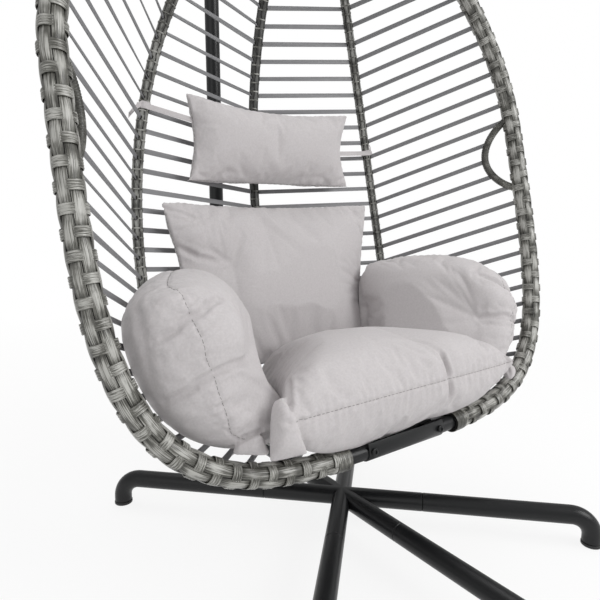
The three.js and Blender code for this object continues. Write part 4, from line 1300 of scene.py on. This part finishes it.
def traceLine(place, fullness, marks):
    # evenly spaced points along a line on the cushion, from marks of u, v and face
    line, step = [], padding["lineStep"]
    for (u0, v0, face0), (u1, v1, face1) in zip(marks, marks[1:]):
        for i in range(padding["markSteps"]):
            share = i / padding["markSteps"]
            u, v = u0 + (u1 - u0) * share, v0 + (v1 - v0) * share
            face = face0 + (face1 - face0) * share
            line.append(place(u, v, face * crown(u, v, fullness)))
    u, v, face = marks[-1]
    line.append(place(u, v, face * crown(u, v, fullness)))
    spaced = [line[0]]
    for point in line:
        while (point - spaced[-1]).length > step:
            spaced.append(spaced[-1] + (point - spaced[-1]).normalized() * step)
    return spaced


def treeOf(points):
    tree = KDTree(len(points))
    for i, point in enumerate(points):
        tree.insert(point, i)
    tree.balance()
    return tree


def pressLine(cushion, line, depth, width):
    # a fold: a valley along the line with a low bank on both sides
    tree = treeOf(line)
    last = len(line) - 1
    bank, away = padding["foldBank"]
    lifts = []
    for vert in cushion.data.vertices:
        _, i, distance = tree.find(vert.co)
        along = min(max(i / last, padding["foldEnd"]), 1 - padding["foldEnd"])
        share = math.sin(math.pi * along) ** padding["foldEase"]
        near = distance / width
        lifts.append(depth * share * (bank * math.exp(-(near - away) ** 2) - math.exp(-near * near)))
    normals = [v.normal.copy() for v in cushion.data.vertices]
    for vert, lift, normal in zip(cushion.data.vertices, lifts, normals):
        if abs(lift) > 1e-5:
            vert.co += normal * lift


def puckerSeam(cushion, line, seed, height):
    tree = treeOf(line)
    draw = random.Random(seed)
    phases = [draw.uniform(*padding["puckerSpread"]) for _ in line]
    for i in range(1, len(phases)):
        phases[i] = phases[i - 1] + phases[i] * padding["lineStep"] / padding["puckerPitch"] * 2 * math.pi
    for vert, normal in zip(cushion.data.vertices, [v.normal.copy() for v in cushion.data.vertices]):
        _, i, distance = tree.find(vert.co)
        if distance < padding["puckerReach"] * padding["puckerEnd"]:
            fade = math.exp(-(distance / padding["puckerReach"]) ** 2)
            vert.co += normal * height * math.sin(phases[i]) * fade
            vert.co -= normal * padding["grooveDepth"] * math.exp(-(distance / padding["grooveWidth"]) ** 2)


def puff(cushion, look, pins, around):
    cushion.data.remesh_voxel_size = padding["voxel"]
    pick(cushion)
    bpy.ops.object.voxel_remesh()
    rest = [v.co.copy() for v in cushion.data.vertices]
    tree = treeOf(pins)
    held = cushion.vertex_groups.new(name="held")
    held.add([v.index for v in cushion.data.vertices if tree.find(v.co)[2] < padding["pinReach"]], 1.0, "REPLACE")
    modifier = cushion.modifiers.new("cloth", "CLOTH")
    cloth = modifier.settings
    cloth.quality = 4
    cloth.use_pressure = True
    cloth.uniform_pressure_force = padding["pressure"]
    cloth.effector_weights.gravity = 0
    cloth.vertex_group_mass = "held"
    cloth.shrink_min = padding["slack"]
    for step in range(1, padding["frames"] + 1):
        scene.frame_set(step)
    pick(cushion)
    bpy.ops.object.modifier_apply(modifier=modifier.name)
    for vert, start in zip(cushion.data.vertices, rest):
        move = vert.co - start
        if move.length > look["cap"]:
            vert.co = start + move * (look["cap"] / move.length)
            move = vert.co - start
        if move.length > 0:
            hits = [tree.ray_cast(start, move.normalized(), move.length + padding["gap"])[3] for tree in around]
            room = min([hit for hit in hits if hit is not None], default=None)
            if room is not None:
                vert.co = start + move.normalized() * max(room - padding["gap"], 0)
    scene.frame_set(1)


def surfaceTree(piece):
    corners = [piece.matrix_world @ vert.co for vert in piece.data.vertices]
    return BVHTree.FromPolygons(corners, [face.vertices for face in piece.data.polygons])


def neighbours(nodeName):
    others = [cadNodes[key] for key in softNodes if key != nodeName and key not in madeCushions]
    others += [cadNodes[key] for key in cadNodes if key.startswith(("straps_", "rim_wrap", "rib_", "bottom_bracket"))]
    return [surfaceTree(piece) for piece in others + list(madeCushions.values())]


def cushionPiece(nodeName, name, place, look, side):
    fullness, earFullness = look["fullness"], padding["earFullness"]
    ears = [earPlace(corners, side, thickness) for corners, thickness in look["ears"]]
    shells = [cushionShell(name, place, fullness)] + [cushionShell("ear", ear, earFullness) for ear in ears]
    cushion = joinPieces(shells, name)
    editAll(cushion)
    bpy.ops.transform.shrink_fatten(value=-padding["shrink"])
    leaveEdit()
    seam = traceLine(place, fullness, look["seam"])
    folds = [(traceLine(place, fullness, marks), depth, width) for marks, depth, width in look["folds"]]
    folds += [(traceLine(ear, earFullness, earEdge), look["earFold"], padding["earFoldWidth"])
              for ear in ears]
    held = [point for line, depth, width in folds if depth > padding["grooveDepth"] for point in line]
    edge = [point for point in traceLine(place, fullness, edgeLoop)
            if all((point - ear(0, 0, 0)).length > padding["earReach"] for ear in ears)]
    puff(cushion, look, edge + held, neighbours(nodeName))
    useModifier(cushion, "SUBSURF", levels=1, render_levels=1)
    surface = surfaceTree(cushion)
    for line, depth, width in folds:
        if look.get("pressedIn"):
            line = [surface.find_nearest(point)[0] for point in line]
        for share, spread in padding["foldPasses"]:
            pressLine(cushion, line, depth * share, width * spread)
    puckerSeam(cushion, seam, look["seed"], look["pucker"])
    dress(cushion, "basket", fabric, nodeName, 180)
    return cushion, seam


edgeLoop = [(-1, -1, 0), (1, -1, 0), (1, 1, 0), (-1, 1, 0), (-1, -1, 0)]
earEdge = [(-1, 1, 0), (1, 1, 0), (1, -0.4, 0)]
seatSeam = [(-0.9, -1, 0), (1, -1, 0), (1, 1, 0), (-1, 1, 0), (-1, -0.6, 0)]
armSeam = [(1, -1, 0), (-0.9, -1, 0), (-1, -0.9, 1), (-1, -0.74, 1), (-0.98, -0.41, 1), (-0.975, 0.03, 1),
           (-0.99, 0.2, 1), (-0.985, 0.41, 1), (-0.985, 0.74, 1), (-0.96, 0.94, 1), (-0.67, 1, 0), (-0.14, 1, 0),
           (1, 1, 0), (1, -1, 0)]
armEar = [(0.0854, 0.3414, -0.0077), (0.0921, 0.3088, -0.0309),
          (0.0534, 0.3060, -0.0367), (0.0613, 0.3553, -0.0020)]
seatLobe = [(0.1340, 0.2900, -0.0400), (0.1380, 0.2700, -0.0450),
            (0.0480, 0.2620, -0.0700), (0.0500, 0.3220, -0.0540)]
armFolds = [
    ([(-0.96, 0.5, -1), (-1, 0.64, 0), (-0.98, 0.74, 1), (-0.87, 0.81, 1), (-0.62, 0.78, 1)], 0.0125, 0.0078),
    ([(-0.91, -0.24, -1), (-1, -0.1, -0.2), (-0.97, 0.03, 1), (-0.9, 0.07, 1), (-0.53, 0.03, 1)], 0.0115, 0.0078),
    ([(-0.7, 0.98, -1), (-0.92, 0.8, -1), (-0.93, 0.53, -1), (-0.9, 0.17, -1), (-0.9, -0.21, -1)], 0.0035, 0.0110),
    ([(-0.97, -0.88, 1), (-0.8, -0.9, 1), (-0.66, -0.97, 1)], 0.0060, 0.0050),
    ([(-0.8, -0.9, 1), (-0.86, -0.98, 1), (-0.8, -1, 0)], 0.0050, 0.0050),
]
seatFolds = [
    ([(0.22, -0.70, 1), (0.28, -0.92, 1), (0.28, -1, 0), (0.28, -0.95, -1), (0.22, -0.86, -1)], 0.0120, 0.0070),
    ([(-0.29, -1, -0.2), (-0.28, -0.96, -1), (-0.26, -0.86, -1)], 0.0025, 0.0060),
    ([(-0.42, -1, -0.2), (-0.44, -0.95, -1), (-0.44, -0.86, -1)], 0.0020, 0.0055),
    ([(-0.93, -0.50, 1), (-0.93, -0.90, 1), (-0.94, -1, 0), (-0.90, -0.92, -1)], 0.0100, 0.0070),
    ([(0.90, -0.70, 1), (0.93, -0.95, 1), (0.93, -1, 0), (0.90, -0.92, -1)], 0.0060, 0.0070),
]
backFolds = [
    ([(-0.99, 0.90, 0.6), (-0.92, 0.88, 1), (-0.80, 0.81, 1)], 0.0110, 0.0060),
    ([(-0.98, 0.46, 0.6), (-0.85, 0.31, 1), (-0.64, 0.24, 1)], 0.0085, 0.0080),
    ([(-0.74, 0.41, 1), (-0.56, 0.20, 1)], 0.0035, 0.0080),
    ([(-0.95, 0.72, 1), (-0.83, 0.77, 1), (-0.66, 0.80, 1)], 0.0025, 0.0070),
    ([(-0.21, 0.98, 0.9), (-0.18, 0.86, 1), (-0.15, 0.66, 1)], 0.0030, 0.0075),
]
headFolds = [
    ([(-0.98, 0.35, 0.6), (-0.86, 0.30, 1), (-0.72, 0.28, 1)], 0.0020, 0.0070),
    ([(-0.75, -0.98, 0.7), (-0.6, -0.8, 1), (-0.35, -0.86, 1)], 0.0020, 0.0090),
    ([(0.75, -0.98, 0.7), (0.6, -0.82, 1), (0.3, -0.88, 1)], 0.0020, 0.0090),
]
cushionLooks = {
    "seat": {"fullness": seat["fullness"], "cap": 0.030, "fill": 0.7, "seed": 3, "pucker": 0.0009,
             "seam": seatSeam, "ears": [(seatLobe, 0.060)], "earFold": 0.002, "folds": seatFolds},
    "arm": {"fullness": arm["fullness"], "cap": 0.026, "fill": 0.7, "seed": 5, "pucker": 0.0009,
            "seam": armSeam, "ears": [(armEar, 0.030)], "earFold": 0.005, "folds": armFolds, "pressedIn": True},
    "back": {"fullness": backPad["fullness"], "cap": 0.024, "fill": 0.6, "seed": 7, "pucker": 0.0004,
             "seam": edgeLoop, "ears": [], "folds": backFolds},
    "head": {"fullness": headPad["fullness"], "cap": 0.018, "fill": 0.6, "seed": 9, "pucker": 0.0003,
             "seam": edgeLoop, "ears": [], "folds": headFolds},
}


def stitchedSeam(name, cushion, line, nodeName):
    tree = surfaceTree(cushion)
    points = [tree.find_nearest(point)[0] for point in line]
    for _ in range(stitch["smoothing"]):
        middles = [(a + b * 2 + c) / 4 for a, b, c in zip(points, points[1:], points[2:])]
        points = [points[0], *middles, points[-1]]
    for i, point in enumerate(points):
        spot, normal, _, _ = tree.find_nearest(point)
        points[i] = spot + normal * stitch["lift"]
    step = stitch["points"]
    runs = [points[first:first + step] for first in range(0, len(points) - step, step)]
    dress(wireAlong(name, runs, stitch["radius"], 1), "basket", seamThread, nodeName, 60)


stitch = {"radius": 0.0005, "lift": 0.0001, "points": 3, "smoothing": 30}
madeCushions = {}
places = {
    "armLeft": ("arm_cushion_left", "armCushion_left", armPlace(-1), "arm", -1),
    "armRight": ("arm_cushion_right", "armCushion_right", armPlace(1), "arm", 1),
    "back": ("back_cushion", "backCushion", uprightPlace(backPad), "back", 1),
    "seat": ("seat_cushion", "seatCushion", seatPlace, "seat", -1),
    "head": ("head_pillow", "headPillow", uprightPlace(headPad), "head", 1),
}
softNodes = [nodeName for nodeName, *_ in places.values()]
for nodeName, name, place, look, side in places.values():
    cushion, seam = cushionPiece(nodeName, name, place, cushionLooks[look], side)
    madeCushions[nodeName] = cushion
    stitchedSeam(f"{name}Seam", cushion, seam, nodeName)
    print("cushion made:", name)

# the head pillow's tapes, each tied round a side rib
tape = {"width": 0.011, "thickness": 0.0012, "ring": 0.0134, "firstTurn": 1.2, "turns": 1.15, "steps": 36,
        "alongRib": (0.004, 0.02), "climb": 0.004, "tuck": 0.010, "start": 0.98, "tails": {-1: 0.034, 1: 0.006},
        "tailSteps": 4,
        "tailOut": 0.3, "tailFall": 0.9, "droop": 0.0006, "loop": (0.0075, 0.0010),
        "loopPlace": (0.014, -0.004, 0.012), "loopTurn": (1.35, 0.35, 0.5),
        "ends": {-1: (0.4264, 0.7146, 0.40), 1: (0.4407, 0.6628, -0.05)}}


def pillowTape(side, name):
    reach, height, along = tape["ends"][side]
    rib = sideRibPlace(side)((reach, height))
    inwards, higher = tape["alongRib"]
    ribUp = (sideRibPlace(side)((reach - inwards, height + higher)) - rib).normalized()
    start = uprightPlace(headPad)(side * tape["start"], along, 0) + Vector((-side * tape["tuck"], 0, 0))
    toward = start - rib
    toward = (toward - ribUp * toward.dot(ribUp)).normalized()
    front = ribUp.cross(toward)
    front *= -1 if front.dot(axisBack) > 0 else 1
    path = [start]
    for i in range(tape["steps"] + 1):
        share = i / tape["steps"]
        turn = tape["firstTurn"] + share * tape["turns"] * fullTurn
        bow = (toward * math.cos(turn) + front * math.sin(turn)) * tape["ring"]
        path.append(rib + bow + ribUp * (tape["climb"] * share))
    away = (front * tape["tailOut"] - toward - ribUp * tape["tailFall"]).normalized()
    knot = path[-1]
    for i in range(1, tape["tailSteps"] + 1):
        path.append(knot + away * tape["tails"][side] * i / tape["tailSteps"] - ribUp * tape["droop"] * i * i)
    last = len(path) - 1
    ribbon = sheet(name, last, 2, 2)
    for vert in ribbon.data.vertices:
        place = path[int((vert.co.x + 1) / 2 * last + 0.5)]
        vert.co = place + ribUp * (vert.co.y * tape["width"] / 2)
    useModifier(ribbon, "SOLIDIFY", thickness=tape["thickness"], offset=0)
    cleanUp(ribbon)
    dress(ribbon, "basket", fabric, "head_pillow", 60)
    rise, inwards, ahead = tape["loopPlace"]
    return rib + ribUp * rise + toward * inwards + front * ahead


pillowTape(-1, "pillowTape_left")
loopPlace = pillowTape(1, "pillowTape_right")
loop = ring("pillowLoop", *tape["loop"], (28, 8), loopPlace, tape["loopTurn"])
dress(loop, "basket", fabric, "head_pillow", 60)
print("pillow tapes made")

# camera, floor and lights
view = {"place": (-0.7053228, -0.8215304, 0.6658146), "pitch": 0.158304, "turn": 0.6252055,
        "lens": 31.9046, "sensor": 36}
white = (1, 1, 1, 1)
cameraData = bpy.data.cameras.new("camera")
cameraData.sensor_width = view["sensor"]
cameraData.lens = view["lens"]
camera = bpy.data.objects.new("camera", cameraData)
camera.location = view["place"]
camera.rotation_euler = (quarter - view["pitch"], 0, -view["turn"])
scene.collection.objects.link(camera)
scene.camera = camera


def floorMaterial():
    # pale to the camera out to the horizon, and a plain floor to all other light
    material, nodes, links, shader = newMaterial("paleFloor", (0.86, 0.86, 0.86), Roughness=0.9)
    path = nodes.new("ShaderNodeLightPath")
    seen = node(nodes, "ShaderNodeMath", operation="MAXIMUM")
    both = node(nodes, "ShaderNodeMath", operation="MULTIPLY")
    glow = node(nodes, "ShaderNodeEmission", Color=white, Strength=1.0)
    mixed = nodes.new("ShaderNodeMixShader")
    where = nodes.new("ShaderNodeTexCoord")
    reach = node(nodes, "ShaderNodeVectorMath", operation="LENGTH")
    fade = node(nodes, "ShaderNodeMapRange", **{"From Min": 0.8, "From Max": 3.0, "To Min": 0.86, "To Max": 1.0})
    wire(links, (path, "Is Camera Ray", seen, 0), (path, "Is Glossy Ray", seen, 1),
         (where, "Object", reach, 0), (reach, "Value", fade, "Value"), (fade, "Result", both, 1),
         (seen, "Value", both, 0), (both, "Value", mixed, "Fac"), (shader, "BSDF", mixed, 1),
         (glow, "Emission", mixed, 2), (mixed, "Shader", nodes["Material Output"], "Surface"))
    return material


floor = shape(bpy.ops.mesh.primitive_plane_add, "floor", size=40, location=(0, 0, -0.0005))
floor.data.materials.append(floorMaterial())

world = bpy.data.worlds.new("studio")
scene.world = world
world.use_nodes = True
nodes = world.node_tree.nodes
soft = nodes["Background"]
soft.inputs["Color"].default_value = white
soft.inputs["Strength"].default_value = 0.62
plain = node(nodes, "ShaderNodeBackground", Color=white, Strength=1.0)
path = nodes.new("ShaderNodeLightPath")
seen = node(nodes, "ShaderNodeMath", operation="MAXIMUM")
chosen = nodes.new("ShaderNodeMixShader")
wire(world.node_tree.links, (path, "Is Camera Ray", seen, 0), (path, "Is Transmission Ray", seen, 1),
     (seen, "Value", chosen, "Fac"), (soft, "Background", chosen, 1), (plain, "Background", chosen, 2),
     (chosen, "Shader", nodes["World Output"], "Surface"))

# each lamp: its place, the height that it looks at, its size and its power
lamps = {
    "keyLight": ((1.9, -2.9, 2.5), 0.7, 2.0, 78),
    "fillLight": ((-2.8, -1.6, 1.8), 0.7, 2.4, 14),
    "topLight": ((0.3, 0.8, 3.4), 0.8, 2.0, 30),
}
for name, (place, height, size, power) in lamps.items():
    data = bpy.data.lights.new(name, "AREA")
    data.size = size
    data.energy = power
    lamp = bpy.data.objects.new(name, data)
    lamp.location = place
    lamp.rotation_euler = (Vector((0, 0, height)) - lamp.location).to_track_quat("-Z", "Y").to_euler()
    scene.collection.objects.link(lamp)
scene.view_settings.view_transform = "Standard"
print("camera, floor and lights made")
